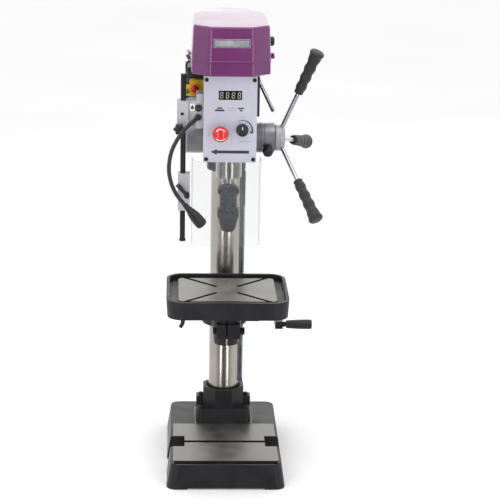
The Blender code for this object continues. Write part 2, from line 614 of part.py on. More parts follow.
def make_lift():
    """The pinion and its worm wheel, the worm shaft, the crank arm and the spinning crank grip."""
    low, high = -RACK_HALF, RACK_HALF
    teeth = gear_outline(PINION_TEETH, RACK_MODULE, RACK_TOOTH_HEIGHT)
    centred = [(PINION_X + a, PINION_Z + b) for a, b in teeth]
    pinion = prism("table_pinion", centred, low, high, axis="Y", look="bright_steel")
    fuse(
        pinion,
        rod("pinion_shaft", (PINION_X, -15, PINION_Z), (PINION_X, WORM_SHAFT_Y + 9, PINION_Z), 5),
        rod(
            "worm_wheel",
            (PINION_X, WORM_SHAFT_Y - 5, PINION_Z),
            (PINION_X, WORM_SHAFT_Y + 5, PINION_Z),
            WHEEL_R,
            sides=24,
        ),
    )
    set_pivot(pinion, (PINION_X, 0, PINION_Z))
    axis = (WORM_SHAFT_Y, CRANK_Z)
    shaft = rod(
        "worm_shaft", (PINION_X - 13, *axis), (CRANK_SHAFT_END - 4, *axis), CRANK_SHAFT_R, "bright_steel"
    )
    fuse(shaft, rod("worm", (PINION_X - 12, *axis), (PINION_X + 12, *axis), WORM_R))
    set_pivot(shaft, (PINION_X, *axis))
    half = CRANK_SECTION / 2
    grip_y = WORM_SHAFT_Y - CRANK_LENGTH
    arm = block(
        "crank_arm",
        (CRANK_X, CRANK_X + CRANK_SECTION),
        (grip_y - half - 1, WORM_SHAFT_Y + half + 1),
        (CRANK_Z - half, CRANK_Z + half),
        "black_paint",
    )
    fuse(arm, rod("grip_pin", (CRANK_X + 5, grip_y, CRANK_Z), (GRIP_END - 3, grip_y, CRANK_Z), 4))
    fuse(arm, rod("grip_neck", (CRANK_X + 10, grip_y, CRANK_Z), (GRIP_START - 4, grip_y, CRANK_Z), 6.5))
    bore_start = CRANK_X - 5
    cut(
        arm, rod("crank_bore", (bore_start, *axis), (CRANK_SHAFT_END - 4 + GAP, *axis), CRANK_SHAFT_R + GAP)
    )
    set_pivot(arm, (CRANK_X, *axis))
    slim = CRANK_GRIP_R - 2.2
    grip = turned(
        "crank_grip",
        [
            (0, GRIP_END),
            (CRANK_GRIP_R * 0.8, GRIP_END - 0.5),
            (CRANK_GRIP_R, GRIP_END - 6),
            (CRANK_GRIP_R - 0.6, GRIP_END - 26),
            (slim, GRIP_START + 4),
            (slim - 1.5, GRIP_START - 3),
            (4 + RUNNING, GRIP_START - 3),
            (4 + RUNNING, GRIP_END - 3 + GAP),
            (0, GRIP_END - 3 + GAP),
        ],
        (0, grip_y, CRANK_Z),
        "X",
        "grip_rubber",
        SMALL_ROUND,
    )
    set_pivot(grip, (GRIP_START, grip_y, CRANK_Z))


def make_table():
    x, y = (-TABLE_HALF_X, TABLE_HALF_X), (TABLE_Y - TABLE_HALF_Y, TABLE_Y + TABLE_HALF_Y)

    def inset(amount):
        corner = max(TABLE_CORNER - amount, 3)
        return rounded_rectangle((x[0] + amount, x[1] - amount), (y[0] + amount, y[1] - amount), corner, 5)

    table = prism(
        "table_top", inset(TABLE_DRAFT), TABLE_BOTTOM, TABLE_TOP_Z, look="cast_dark", top=inset(0)
    )
    plate_bottom = TABLE_TOP_Z - TABLE_RIM_RISE - TABLE_PLATE
    underside = prism("table_underside", inset(TABLE_RIM + 2), TABLE_BOTTOM - 5, plate_bottom)
    well = prism("table_well", inset(TABLE_RIM), TABLE_FACE - TABLE_CHANNEL_DEPTH, TABLE_TOP_Z + 5)
    cut(table, underside, well)
    fuse(
        table,
        prism("work_face", inset(TABLE_RIM + TABLE_CHANNEL), plate_bottom + 1, TABLE_FACE),
        rod(
            "table_boss", (0, TABLE_Y, TABLE_BOTTOM), (0, TABLE_Y, plate_bottom + 1), TABLE_BOSS_R, sides=24
        ),
        rod(
            "table_stub",
            (0, TABLE_Y, TABLE_BOTTOM - TABLE_STUB_LENGTH),
            (0, TABLE_Y, TABLE_BOTTOM + 1),
            TABLE_STUB_R,
            sides=ROUND,
        ),
    )
    half = TABLE_SLOT_WIDTH / 2
    for index, (sx, sy) in enumerate(((1, 1), (-1, 1), (-1, -1), (1, -1))):
        run, side = Vector((sx, sy)).normalized(), Vector((-sy, sx)).normalized()
        corners = []
        for reach, offset in (
            (TABLE_SLOT_IN, -half),
            (TABLE_SLOT_OUT, -half),
            (TABLE_SLOT_OUT, half),
            (TABLE_SLOT_IN, half),
        ):
            point = run * reach + side * offset
            corners.append((point.x, TABLE_Y + point.y))
        cut(table, prism(f"clamp_slot_{index}", corners, plate_bottom - 3, TABLE_TOP_Z))
    set_pivot(table, (0, TABLE_Y, TABLE_BOTTOM))


def make_clamps():
    """The bolt that pinches the nose onto the table's stub, and the lever that locks the arm."""
    ear_y = TABLE_Y - NOSE_R_LOW + 2 - 4
    z = PINION_Z + 3
    bolt = rod("table_clamp_bolt", (-29, ear_y, z), (31, ear_y, z), 4, "bright_steel")
    head = prism("bolt_head", [(ear_y + a, z + b) for a, b in circle(9, 6)], 30 + GAP, 41, axis="X")
    nut = prism("bolt_nut", [(ear_y + a, z + b) for a, b in circle(7.5, 6)], -32, -24 - GAP, axis="X")
    fuse(bolt, head, nut)
    set_pivot(bolt, (0, ear_y, z))
    y, z = ARM_R + 9, PINION_Z + 4
    lever = rod("arm_lock_lever", (-22, y, z), (17, y, z), 5, "black_steel")
    fuse(
        lever,
        rod("lock_nut", (16 + GAP, y, z), (24, y, z), 9),
        rod("lock_hub", (-30, y, z), (-16 - GAP, y, z), 9),
        rod("lock_handle", (-24, y, z), (-40, y + 62, z - 14), 4.5, end_radius=5.5),
        ball("lock_ball", (-40, y + 62, z - 14), 9),
    )
    set_pivot(lever, (0, y, z))


# ---- Head, panel and boxes ----


def make_head():
    half = HEAD_HALF
    outline = [
        (-half, HEAD_FRONT),
        (half, HEAD_FRONT),
        (half, HEAD_BACK - HEAD_CORNER),
        (half - HEAD_CORNER, HEAD_BACK),
        (-half + HEAD_CORNER, HEAD_BACK),
        (-half, HEAD_BACK - HEAD_CORNER),
    ]
    head = prism("head_casting", outline, HEAD_BOTTOM, HEAD_TOP, look="head_grey")
    axis = (FEED_Y, FEED_Z)
    fuse(
        head,
        rod("ring_boss", (half - 5, *axis), (RING_END - 2, *axis), RING_BOSS_R, sides=ROUND),
        rod("cup_boss", (-CUP_START - 8, *axis), (-half + 5, *axis), RING_BOSS_R, sides=24),
    )
    room_top = QUILL_TOP + 18
    room_x = (-half + HEAD_SKIN, half - HEAD_SKIN)
    room_y = (SPINDLE_Y + QUILL_R + 8.75, -COLUMN_R - 9)
    cut(
        head,
        rod("quill_bore", (0, SPINDLE_Y, 0), (0, SPINDLE_Y, room_top), QUILL_R + RUNNING, sides=ROUND),
        rod(
            "sleeve_bore",
            (0, SPINDLE_Y, room_top - 5),
            (0, SPINDLE_Y, LONG * 3),
            DRIVE_SLEEVE_R + RUNNING,
            sides=ROUND,
        ),
        rod("column_socket", (0, 0, 0), (0, 0, HEAD_TOP - 13), COLUMN_R + GAP, sides=ROUND),
        rod("feed_bore", (-LONG, *axis), (LONG, *axis), FEED_SHAFT_R + RUNNING, sides=24),
        rod("pinion_room", (-FEED_RACK_HALF - 2, *axis), (FEED_RACK_HALF + 2, *axis), FEED_R + 3, sides=24),
        block("head_room", room_x, room_y, (HEAD_BOTTOM - 5, HEAD_TOP - 12)),
    )
    rod_z = MOTOR_PLATE_TOP - MOTOR_PLATE / 2
    for side in (-1, 1):
        x = side * MOTOR_ROD_X
        cut(head, rod(f"motor_rod_bore_{side}", (x, -30, rod_z), (x, LONG, rod_z), MOTOR_ROD_R + RUNNING))


def make_panel():
    """The front panel, a shallow tray with its open side against the head."""
    back = HEAD_FRONT - GAP
    x, z = (-PANEL_HALF, PANEL_HALF), (PANEL_BOTTOM, PANEL_TOP)
    panel = block("control_panel", x, (PANEL_FRONT, back), z, "panel_grey")
    wall = PANEL_WALL
    cut(
        panel,
        block(
            "panel_room",
            (x[0] + wall, x[1] - wall),
            (PANEL_FRONT + wall, back + 5),
            (z[0] + wall, z[1] - wall),
        ),
        block("display_window", DISPLAY[0], (PANEL_FRONT - 5, PANEL_FRONT + 1), DISPLAY[1]),
        rod("estop_hole", (ESTOP[0], -LONG, ESTOP[1]), (ESTOP[0], back + 5, ESTOP[1]), 8 + RUNNING),
        rod("knob_hole", (KNOB[0], -LONG, KNOB[1]), (KNOB[0], back + 5, KNOB[1]), 3 + RUNNING),
    )
    x, z = ESTOP
    stop = turned(
        "emergency_stop",
        [(0, 32), (9, 31), (15, 28), (17.9, 22), (17.4, 17), (13, 13), (8, 12), (8, -8), (0, -8)],
        (x, PANEL_FRONT, z),
        (0, -1, 0),
        "red_plastic",
        20,
    )
    set_pivot(stop, (x, PANEL_FRONT, z))
    x, z = KNOB
    knob = turned(
        "speed_knob",
        [(0, 19), (11.6, 18.5), (13.2, 16.5), (13.8, 3), (13.8, 1.2), (3, 1.2), (3, -9), (0, -9)],
        (x, PANEL_FRONT, z),
        (0, -1, 0),
        "black_plastic",
        20,
    )
    set_pivot(knob, (x, PANEL_FRONT, z))


def make_side_box():
    right = -PANEL_HALF - GAP
    step_low, step_high = -HEAD_HALF - 20, -HEAD_HALF - 17.5
    outline = [
        (BOX_LEFT, BOX_TOP - 16),
        (BOX_LEFT, BOX_BOTTOM + 15),
        (step_low, BOX_BOTTOM + 11),
        (step_low, BOX_BOTTOM),
        (right, BOX_BOTTOM),
        (right, BOX_TOP),
        (step_high, BOX_TOP),
        (step_high, BOX_TOP - 16),
    ]
    box = prism("side_box", outline, BOX_FRONT, BOX_BACK, axis="Y", look="head_grey")
    x, z = -HEAD_HALF - COOLANT[0], COOLANT[1]
    cut(box, rod("coolant_hole", (x, -LONG, z), (x, BOX_FRONT + 12, z), 5 + RUNNING))
    button = turned(
        "coolant_button",
        [(0, 6), (6.8, 5.2), (7.9, 3.5), (7.9, 2.6), (5, 2.6), (5, -6), (0, -6)],
        (x, BOX_FRONT, z),
        (0, -1, 0),
        "black_plastic",
        SMALL_ROUND,
    )
    set_pivot(button, (x, BOX_FRONT, z))


def make_drive_box():
    """The finned speed-drive box on the head's left side, and the start and stop station on its front."""
    right = -HEAD_HALF - GAP
    drive = block(
        "drive_box", (DRIVE_LEFT + 6, right), (
            DRIVE_FRONT, DRIVE_BACK
        ), (DRIVE_BOTTOM, DRIVE_TOP), "black_paint"
    )
    for i in range(6):
        z = DRIVE_BOTTOM + 9 + i * 15
        fuse(
            drive,
            block(f"fin_{i}", (DRIVE_LEFT, right - 15), (DRIVE_FRONT + 2, DRIVE_BACK - 2), (z, z + 4)),
        )
    front, low = DRIVE_FRONT - 24, DRIVE_BOTTOM + STATION_RISE
    back, top, plate_top = DRIVE_FRONT - GAP, low + STATION_HEIGHT, low + STATION_PLATE_HEIGHT
    station = block("switch_station", (DRIVE_LEFT + 9, right), (front, back), (low, top), "yellow_plastic")
    plate = block("station_plate", (DRIVE_LEFT - 3, right - 20), (front + 8, back), (low, plate_top))
    fuse(station, plate)
    x, z = -HEAD_HALF - RED_BUTTON[0], DRIVE_BOTTOM + RED_BUTTON[1]
    cut(station, rod("red_hole", (x, -LONG, z), (x, front + 12, z), 5 + RUNNING))
    gx, gz = -HEAD_HALF - GREEN_BUTTON[0], DRIVE_BOTTOM + GREEN_BUTTON[1]
    cut(
        station,
        rod("green_hole", (gx, -LONG, gz), (gx, DRIVE_FRONT - 7, gz), 3 + RUNNING),
        rod("green_recess", (gx, front - 5, gz), (gx, front + 8, gz), 6),
    )
    red = turned(
        "stop_button", [(0, 12), (7, 11), (9.2, 8), (8.5, 3.4), (5, 3), (5, -6), (0, -6)],
        (x, front, z), (0, -1, 0), "red_plastic", SMALL_ROUND,
    )
    set_pivot(red, (x, front, z))
    green = turned(
        "start_button", [(0, 5), (4.4, 4.4), (5.2, 3), (3, 2.4), (3, -5), (0, -5)],
        (gx, front + 8, gz), (0, -1, 0), "green_plastic", SMALL_ROUND,
    )
    set_pivot(green, (gx, front + 8, gz))


# ---- Cover, motor and belt ----


def cover_outline(inset=0.0):
    """Half-round at the back, chamfered at the front, wide between: the belt cover seen from above."""
    half = [
        (COVER_FRONT_HALF, COVER_FRONT),
        (COVER_HALF, COVER_SHOULDER_Y),
        (COVER_TAPER_HALF, COVER_TAPER_Y),
    ]
    steps = 6
    bend = COVER_BACK - COVER_BACK_HALF
    for i in range(steps):
        a, b = polar(COVER_BACK_HALF, 90 * i / steps)
        half.append((a, bend + b))
    right = half + [(0, COVER_BACK)]
    points = right + [(-x, y) for x, y in reversed(half)]
    middle_y = (COVER_FRONT + COVER_BACK) / 2
    reach_x, reach_y = COVER_HALF, (COVER_BACK - COVER_FRONT) / 2
    return [
        (x * (1 - inset / reach_x), middle_y + (y - middle_y) * (1 - inset / reach_y)) for x, y in points
    ]


def make_cover():
    tray = prism("belt_tray", cover_outline(), TRAY_BOTTOM, COVER_SEAM - GAP, look="purple")
    cut(tray, prism("tray_room", cover_outline(COVER_WALL), TRAY_BOTTOM + COVER_WALL, COVER_SEAM + 5))
    hinge_z = COVER_SEAM
    lug_outer, lug_y = COVER_HALF + HINGE_OUT + HINGE_R, (SPINDLE_Y - 2, SPINDLE_Y + 22)
    for name, y in (
        ("front", (HINGE_FRONT, HINGE_FRONT + HINGE_LUG)), ("back", (HINGE_BACK - HINGE_LUG, HINGE_BACK))
    ):
        barrel = rod(f"tray_barrel_{name}", (HINGE_X, y[0], hinge_z), (HINGE_X, y[1], hinge_z), HINGE_R)
        web = block(
            f"tray_web_{name}", (HINGE_X - 1, -COVER_HALF + 2.4), y, (hinge_z - HINGE_R - 3, hinge_z - GAP)
        )
        fuse(tray, barrel, web)
    fuse(
        tray,
        block("latch_lug", (COVER_HALF - 2.4, lug_outer), lug_y, (COVER_SEAM - 7, COVER_SEAM - GAP)),
    )
    cut(
        tray,
        rod(
            "spindle_way",
            (0, SPINDLE_Y, 0),
            (0, SPINDLE_Y, LONG * 4),
            DRIVE_SLEEVE_R + RUNNING,
            sides=ROUND,
        ),
        block(
            "motor_way", (-16, 16), (
                MOTOR_Y - 16 - MOTOR_SLACK, MOTOR_Y + 18
            ), (0, TRAY_BOTTOM + COVER_WALL + 3)
        ),
        rod("hinge_bore", (HINGE_X, -LONG, hinge_z), (HINGE_X, LONG, hinge_z), HINGE_PIN_R, sides=12),
    )
    lid = prism(
        "belt_lid", cover_outline(), COVER_SEAM, LID_TOP, look="purple", top=cover_outline(LID_DRAFT)
    )
    inner_top = cover_outline(COVER_WALL + LID_DRAFT)
    room = prism("lid_room", cover_outline(COVER_WALL), COVER_SEAM - 5, LID_TOP - COVER_WALL, top=inner_top)
    slope = LID_BACK_DROP / (COVER_BACK - LID_SLOPE_Y)
    beyond = COVER_BACK + 50
    wedge = [
        (LID_SLOPE_Y, LID_TOP + 1),
        (LID_SLOPE_Y, LID_TOP),
        (beyond, LID_TOP - slope * (beyond - LID_SLOPE_Y)),
        (beyond, LID_TOP + 1),
    ]
    cut(lid, prism("lid_slope", wedge, -LONG, LONG, axis="X"))
    inner_wedge = [
        (LID_SLOPE_Y, LID_TOP + 1),
        (LID_SLOPE_Y, LID_TOP - COVER_WALL),
        (beyond, LID_TOP - COVER_WALL - slope * (beyond - LID_SLOPE_Y)),
        (beyond, LID_TOP + 1),
    ]
    cut(room, prism("room_slope", inner_wedge, -LONG, LONG, axis="X"))
    cut(lid, room)
    middle = (HINGE_FRONT + HINGE_LUG + GAP, HINGE_BACK - HINGE_LUG - GAP)
    fuse(
        lid,
        rod("lid_barrel", (HINGE_X, middle[0], hinge_z), (HINGE_X, middle[1], hinge_z), HINGE_R),
        block("lid_web", (HINGE_X - 1, -COVER_HALF + 2.2), middle, (hinge_z + GAP, hinge_z + HINGE_R + 3)),
        block("lid_lug", (COVER_HALF - 2.2, lug_outer), lug_y, (COVER_SEAM, COVER_SEAM + 5)),
    )
    cut(
        lid,
        rod("lid_hinge_bore", (HINGE_X, -LONG, hinge_z), (HINGE_X, LONG, hinge_z), HINGE_PIN_R, sides=12),
    )
    for name, y in (("front", (HINGE_FRONT, middle[0] - GAP)), ("back", (middle[1] + GAP, HINGE_BACK))):
        limits = (y[0] - 1, y[1] + GAP / 2) if name == "front" else (y[0] - GAP / 2, y[1] + 1)
        cut(
            lid,
            rod(
                f"clear_{name}", (HINGE_X, limits[0], hinge_z), (HINGE_X, limits[1], hinge_z), HINGE_R + 0.8
            ),
        )
    near, far = middle[0] - GAP / 2, middle[1] + GAP / 2
    cut(tray, rod("clear_middle", (HINGE_X, near, hinge_z), (HINGE_X, far, hinge_z), HINGE_R + 0.8))
    set_pivot(lid, (HINGE_X, (HINGE_FRONT + HINGE_BACK) / 2, hinge_z))
    knob_y, knob_z, wall_x = SPINDLE_Y + 40, COVER_SEAM + 26, COVER_HALF
    cut(
        lid, rod("latch_hole", (LONG, knob_y, knob_z), (wall_x - 20, knob_y, knob_z), 3 + RUNNING, sides=12)
    )
    knob = turned(
        "latch_knob",
        [(0, 13.4), (7.5, 12.8), (10.6, 10), (11, 4), (10, 1.2), (3, 1.2), (3, -8), (0, -8)],
        (wall_x, knob_y, knob_z), "X", "black_plastic", SMALL_ROUND,
    )
    set_pivot(knob, (wall_x, knob_y, knob_z))


def belt_outline(extra):
    """The path round both pulleys, with the straight runs between them."""
    r1, r2, span = PULLEY_R + extra, MOTOR_PULLEY_R + extra, MOTOR_Y - SPINDLE_Y
    lean = math.asin((r1 - r2) / span)
    steps = 20
    points = []
    for i in range(steps + 1):
        angle = lean - (math.pi + 2 * lean) * i / steps
        points.append((r1 * math.cos(angle), SPINDLE_Y + r1 * math.sin(angle)))
    steps = 12
    for i in range(steps + 1):
        angle = math.pi - lean - (math.pi - 2 * lean) * i / steps
        points.append((r2 * math.cos(angle), MOTOR_Y + r2 * math.sin(angle)))
    return points


def pulley_profile(radius, bore, hub_r, hub_bottom):
    low, high, rim = PULLEY_BOTTOM, PULLEY_BOTTOM + PULLEY_HEIGHT, radius + PULLEY_RIM
    lip = (PULLEY_HEIGHT - BELT_HEIGHT) / 2 - GAP
    return [
        (bore, high), (rim, high), (rim, high - lip), (
            radius, high - lip
        ), (radius, low + lip), (rim, low + lip),
        (rim, low), (hub_r, low), (hub_r, hub_bottom), (bore, hub_bottom),
    ]


def make_drive():
    turned(
        "spindle_pulley",
        pulley_profile(PULLEY_R, SPINDLE_SPLINE_R + RUNNING, DRIVE_SLEEVE_R, QUILL_TOP + 24),
        (0, SPINDLE_Y, 0), "Z", "aluminium",
    )
    set_pivot(bpy.data.objects["spindle_pulley"], (0, SPINDLE_Y, PULLEY_BOTTOM))
    pulley = turned(
        "motor_pulley",
        [(0, PULLEY_BOTTOM + PULLEY_HEIGHT)]
        + pulley_profile(MOTOR_PULLEY_R, 1.0, MOTOR_SHAFT_R + 3, TRAY_BOTTOM + COVER_WALL + 2)[1:-1]
        + [
            (MOTOR_SHAFT_R, TRAY_BOTTOM + COVER_WALL + 2),
            (MOTOR_SHAFT_R, MOTOR_BOTTOM + 40),
            (0, MOTOR_BOTTOM + 40),
        ],
        (0, MOTOR_Y, 0), "Z", "aluminium", 24,
    )
    set_pivot(pulley, (0, MOTOR_Y, PULLEY_BOTTOM))
    middle = PULLEY_BOTTOM + PULLEY_HEIGHT / 2
    low, high = middle - BELT_HEIGHT / 2, middle + BELT_HEIGHT / 2
    belt = prism("drive_belt", belt_outline(GAP + BELT_THICKNESS), low, high, look="belt_rubber")
    cut(belt, prism("belt_inside", belt_outline(GAP), low - 5, high + 5))
    plate_low = MOTOR_PLATE_TOP - MOTOR_PLATE
    plate = block(
        "motor_mount",
        (-MOTOR_R + 2, MOTOR_R - 2),
        (HEAD_BACK + MOTOR_CLEAR - 1, MOTOR_Y + MOTOR_R - 4),
        (plate_low, MOTOR_PLATE_TOP),
        "black_steel",
    )
    rod_z = MOTOR_PLATE_TOP - MOTOR_PLATE / 2
    for side in (-1, 1):
        x = side * MOTOR_ROD_X
        fuse(plate, rod(f"slide_rod_{side}", (x, -18, rod_z), (x, HEAD_BACK + 20, rod_z), MOTOR_ROD_R))
    cut(plate, rod("shaft_way", (0, MOTOR_Y, 0), (0, MOTOR_Y, LONG * 3), MOTOR_SHAFT_R + 2, sides=24))
    top = plate_low - GAP
    motor = turned(
        "motor_body",
        [
            (0, MOTOR_BOTTOM + 38), (
                MOTOR_SHAFT_R + RUNNING, MOTOR_BOTTOM + 38
            ), (MOTOR_SHAFT_R + RUNNING, top),
            (MOTOR_R, top), (MOTOR_R, MOTOR_BOTTOM + 34), (MOTOR_R - 1.5, MOTOR_BOTTOM + 33),
            (MOTOR_R - 1.5, MOTOR_BOTTOM + 10), (MOTOR_R - 10, MOTOR_BOTTOM), (0, MOTOR_BOTTOM),
        ],
        (0, MOTOR_Y, 0), "Z", "black_paint",
    )
    set_pivot(motor, (0, MOTOR_Y, MOTOR_BOTTOM))
    y, z = -100.0, 922.0
    lever = rod("tension_lever", (HEAD_HALF + GAP, y, z), (HEAD_HALF + 11, y, z), 7, "bright_steel")
    fuse(lever, rod("lever_rod", (HEAD_HALF + 7, y, z + 1), (103.5, y, 842), 4.5))
    cut(
        bpy.data.objects["head_casting"], rod("cam_bore", (HEAD_HALF - 16, y, z), (LONG, y, z), 4 + RUNNING)
    )
    fuse(lever, rod("cam_shaft", (HEAD_HALF - 14, y, z), (HEAD_HALF + 5, y, z), 4))
    set_pivot(lever, (HEAD_HALF, y, z))


# ---- Quill, spindle, chuck and feed ----


def make_quill():
    quill = turned(
        "quill",
        [
            (QUILL_R, QUILL_BOTTOM),
            (QUILL_R, QUILL_TOP),
            (QUILL_BORE, QUILL_TOP),
            (QUILL_BORE, QUILL_BOTTOM),
        ],
        (0, SPINDLE_Y, 0), "Z", "ground_steel",
    )
    pitch = math.pi * FEED_MODULE
    tip, root = RACK_FLAT_Y, RACK_FLAT_Y - FEED_TOOTH_HEIGHT * 1.1
    low, high = FEED_Z - 34, QUILL_TOP + 5
    beyond = SPINDLE_Y + QUILL_R + 5
    points = [(tip, low), (beyond, low), (beyond, high), (tip, high)]
    last = math.floor((QUILL_TOP + 3 - FEED_Z) / pitch)
    first = math.ceil((low + 8 - FEED_Z) / pitch)
    for i in range(last, first - 1, -1):
        middle = FEED_Z + i * pitch
        points.append((tip, middle + pitch * 0.36))
        points.append((root, middle + pitch * 0.16))
        points.append((root, middle - pitch * 0.16))
        points.append((tip, middle - pitch * 0.36))
    cut(quill, prism("quill_rack", points, -FEED_RACK_HALF - 1, FEED_RACK_HALF + 1, axis="X"))
    set_pivot(quill, (0, SPINDLE_Y, QUILL_BOTTOM))
    seat = QUILL_BORE - RUNNING
    spindle = turned(
        "spindle",
        [
            (0, SPINDLE_TOP), (SPINDLE_SPLINE_R - 1, SPINDLE_TOP), (SPINDLE_SPLINE_R, SPINDLE_TOP - 1),
            (SPINDLE_SPLINE_R, QUILL_TOP - 8), (seat, QUILL_TOP - 8), (seat, QUILL_TOP - 24),
            (SPINDLE_SPLINE_R + 3, QUILL_TOP - 24), (SPINDLE_SPLINE_R + 3, QUILL_BOTTOM + 22),
            (seat, QUILL_BOTTOM + 22), (seat, QUILL_BOTTOM - 14), (ARBOR_R + 4, CHUCK_TOP + 6),
            (ARBOR_R, CHUCK_TOP + 5), (ARBOR_R, CHUCK_TOP - 2), (
                ARBOR_R - 0.8, CHUCK_TOP - 28
            ), (0, CHUCK_TOP - 28),
        ],
        (0, SPINDLE_Y, 0), "Z", "bright_steel", 24,
    )
    set_pivot(spindle, (0, SPINDLE_Y, CHUCK_TOP))


def jaw_line(turn):
    """Where one jaw stands: its tip, and the slanting direction that it slides down."""
    around = Vector((math.cos(turn), math.sin(turn), 0))
    lean = math.radians(JAW_TILT)
    down = -around * math.sin(lean) - Vector((0, 0, math.cos(lean)))
    tip = Vector((0, SPINDLE_Y, CHUCK_TIP + JAW_TRAVEL + 1.5)) + around * JAW_TIP_RADIUS
    return tip, down


def make_chuck():
    core_top, core_tip = CHUCK_SLEEVE_TOP + GAP, CHUCK_TIP + 9
    body = turned(
        "chuck_body",
        [
            (0, CHUCK_TOP - 29), (ARBOR_R + GAP, CHUCK_TOP - 29), (ARBOR_R + GAP, CHUCK_TOP),
            (CHUCK_RING_R - 1.5, CHUCK_TOP), (CHUCK_RING_R, CHUCK_TOP - 2),
            (CHUCK_RING_R, CHUCK_RING_BOTTOM + 2), (CHUCK_RING_R - 1.5, CHUCK_RING_BOTTOM),
            (CHUCK_BODY_R, CHUCK_RING_BOTTOM), (CHUCK_BODY_R, core_top), (CHUCK_CORE_R, core_top),
            (CHUCK_CORE_R, CHUCK_TAPER + 4), (9.6, core_tip), (0, core_tip),
        ],
        (0, SPINDLE_Y, 0), "Z", "black_steel", 24,
    )
    cut(body, rod("drill_way", (0, SPINDLE_Y, 0), (0, SPINDLE_Y, CHUCK_TAPER - 4), 4.2))
    sleeve = turned(
        "chuck_sleeve",
        [
            (
                CHUCK_RING_R - 1, CHUCK_SLEEVE_TOP
            ), (CHUCK_RING_R, CHUCK_SLEEVE_TOP - 1), (CHUCK_RING_R, CHUCK_TAPER),
            (
                CHUCK_TIP_R + 1.5, CHUCK_TIP + 2
            ), (CHUCK_TIP_R, CHUCK_TIP), (10.2, CHUCK_TIP), (10.2, CHUCK_TIP + 8.5),
            (CHUCK_CORE_R + 0.6, CHUCK_TAPER + 3), (CHUCK_CORE_R + 0.6, CHUCK_SLEEVE_TOP),
        ],
        (0, SPINDLE_Y, 0), "Z", "black_steel", 24,
    )
    set_pivot(body, (0, SPINDLE_Y, CHUCK_TOP))
    set_pivot(sleeve, (0, SPINDLE_Y, CHUCK_SLEEVE_TOP))
    for index in range(3):
        turn = math.radians(90 + 120 * index)
        tip, down = jaw_line(turn)
        back = tip - down * (JAW_LENGTH + 2)
        cut(body, rod(f"jaw_way_{index}", tip + down * 30, back, JAW_R + RUNNING, sides=12))
        jaw = rod(f"chuck_jaw_{index + 1}", tip, tip - down * JAW_LENGTH, JAW_R, "bright_steel", 12)
        set_pivot(jaw, tip)


def spoke_direction(index):
    """Spokes lean out along +X, a third of a turn apart. The first one points back and a little down."""
    turn = math.radians(SPOKE_PHASE + 120 * index)
    lean = math.radians(SPOKE_TILT)
    outward = Vector((0, math.cos(turn), -math.sin(turn)))
    return outward * math.cos(lean) + Vector((math.sin(lean), 0, 0))


def make_feed():
    axis = (FEED_Y, FEED_Z)
    teeth = gear_outline(FEED_TEETH, FEED_MODULE, FEED_TOOTH_HEIGHT)
    centred = [(FEED_Y + a, FEED_Z + b) for a, b in teeth]
    shaft = prism("feed_shaft", centred, -FEED_RACK_HALF, FEED_RACK_HALF, axis="X", look="bright_steel")
    fuse(
        shaft, rod("shaft", (-CUP_END + CUP_WALL + 2, *axis), (HUB_END - 6, *axis), FEED_SHAFT_R, sides=24)
    )
    set_pivot(shaft, (0, *axis))
    hub = turned(
        "feed_hub",
        [
            (0, HUB_END), (14, HUB_END), (
                HUB_R - 6, HUB_END - 1.5
            ), (HUB_R - 1, HUB_END - 6), (HUB_R, HUB_END - 9),
            (HUB_R, HUB_START + 2), (HUB_R - 2, HUB_START), (FEED_SHAFT_R + GAP, HUB_START),
            (FEED_SHAFT_R + GAP, HUB_END - 6 + GAP), (0, HUB_END - 6 + GAP),
        ],
        (0, *axis), "X", "aluminium",
    )
    set_pivot(hub, (HUB_START, *axis))
    apex = Vector((SPOKE_APEX, *axis))
    for index in range(3):
        way = spoke_direction(index)
        cut(hub, rod(f"spoke_hole_{index}", apex + way * 20, apex + way * 60, SPOKE_ROD_R + GAP, sides=12))
        bar = rod(
            f"feed_rod_{index + 1}", apex + way * 20.4, apex + way * (
                SPOKE_LENGTH - 24
            ), SPOKE_ROD_R, "bright_steel", 12
        )
        length = SPOKE_LENGTH - SPOKE_GRIP_START
        profile = [(0, length), (SPOKE_GRIP_END_R * 0.72, length - 0.8), (SPOKE_GRIP_END_R, length - 7)]
        waves = 4
        for i in range(waves * 2 + 1):
            share = 1 - i / (waves * 2)
            wide = SPOKE_GRIP_R + (SPOKE_GRIP_END_R - 4.5 - SPOKE_GRIP_R) * share ** 1.3
            profile.append((wide + (0.7 if i % 2 else -0.7), 6 + share * (length - 24)))
        profile += [(SPOKE_GRIP_R + 0.6, 2), (SPOKE_GRIP_R - 1, 0), (SPOKE_ROD_R + GAP, 0)]
        profile += [(SPOKE_ROD_R + GAP, length - 23.6), (0, length - 23.6)]
        start = apex + way * SPOKE_GRIP_START
        grip = turned(f"feed_grip_{index + 1}", profile, start, way, "grip_rubber", SMALL_ROUND)
        set_pivot(bar, apex)
        set_pivot(grip, apex)


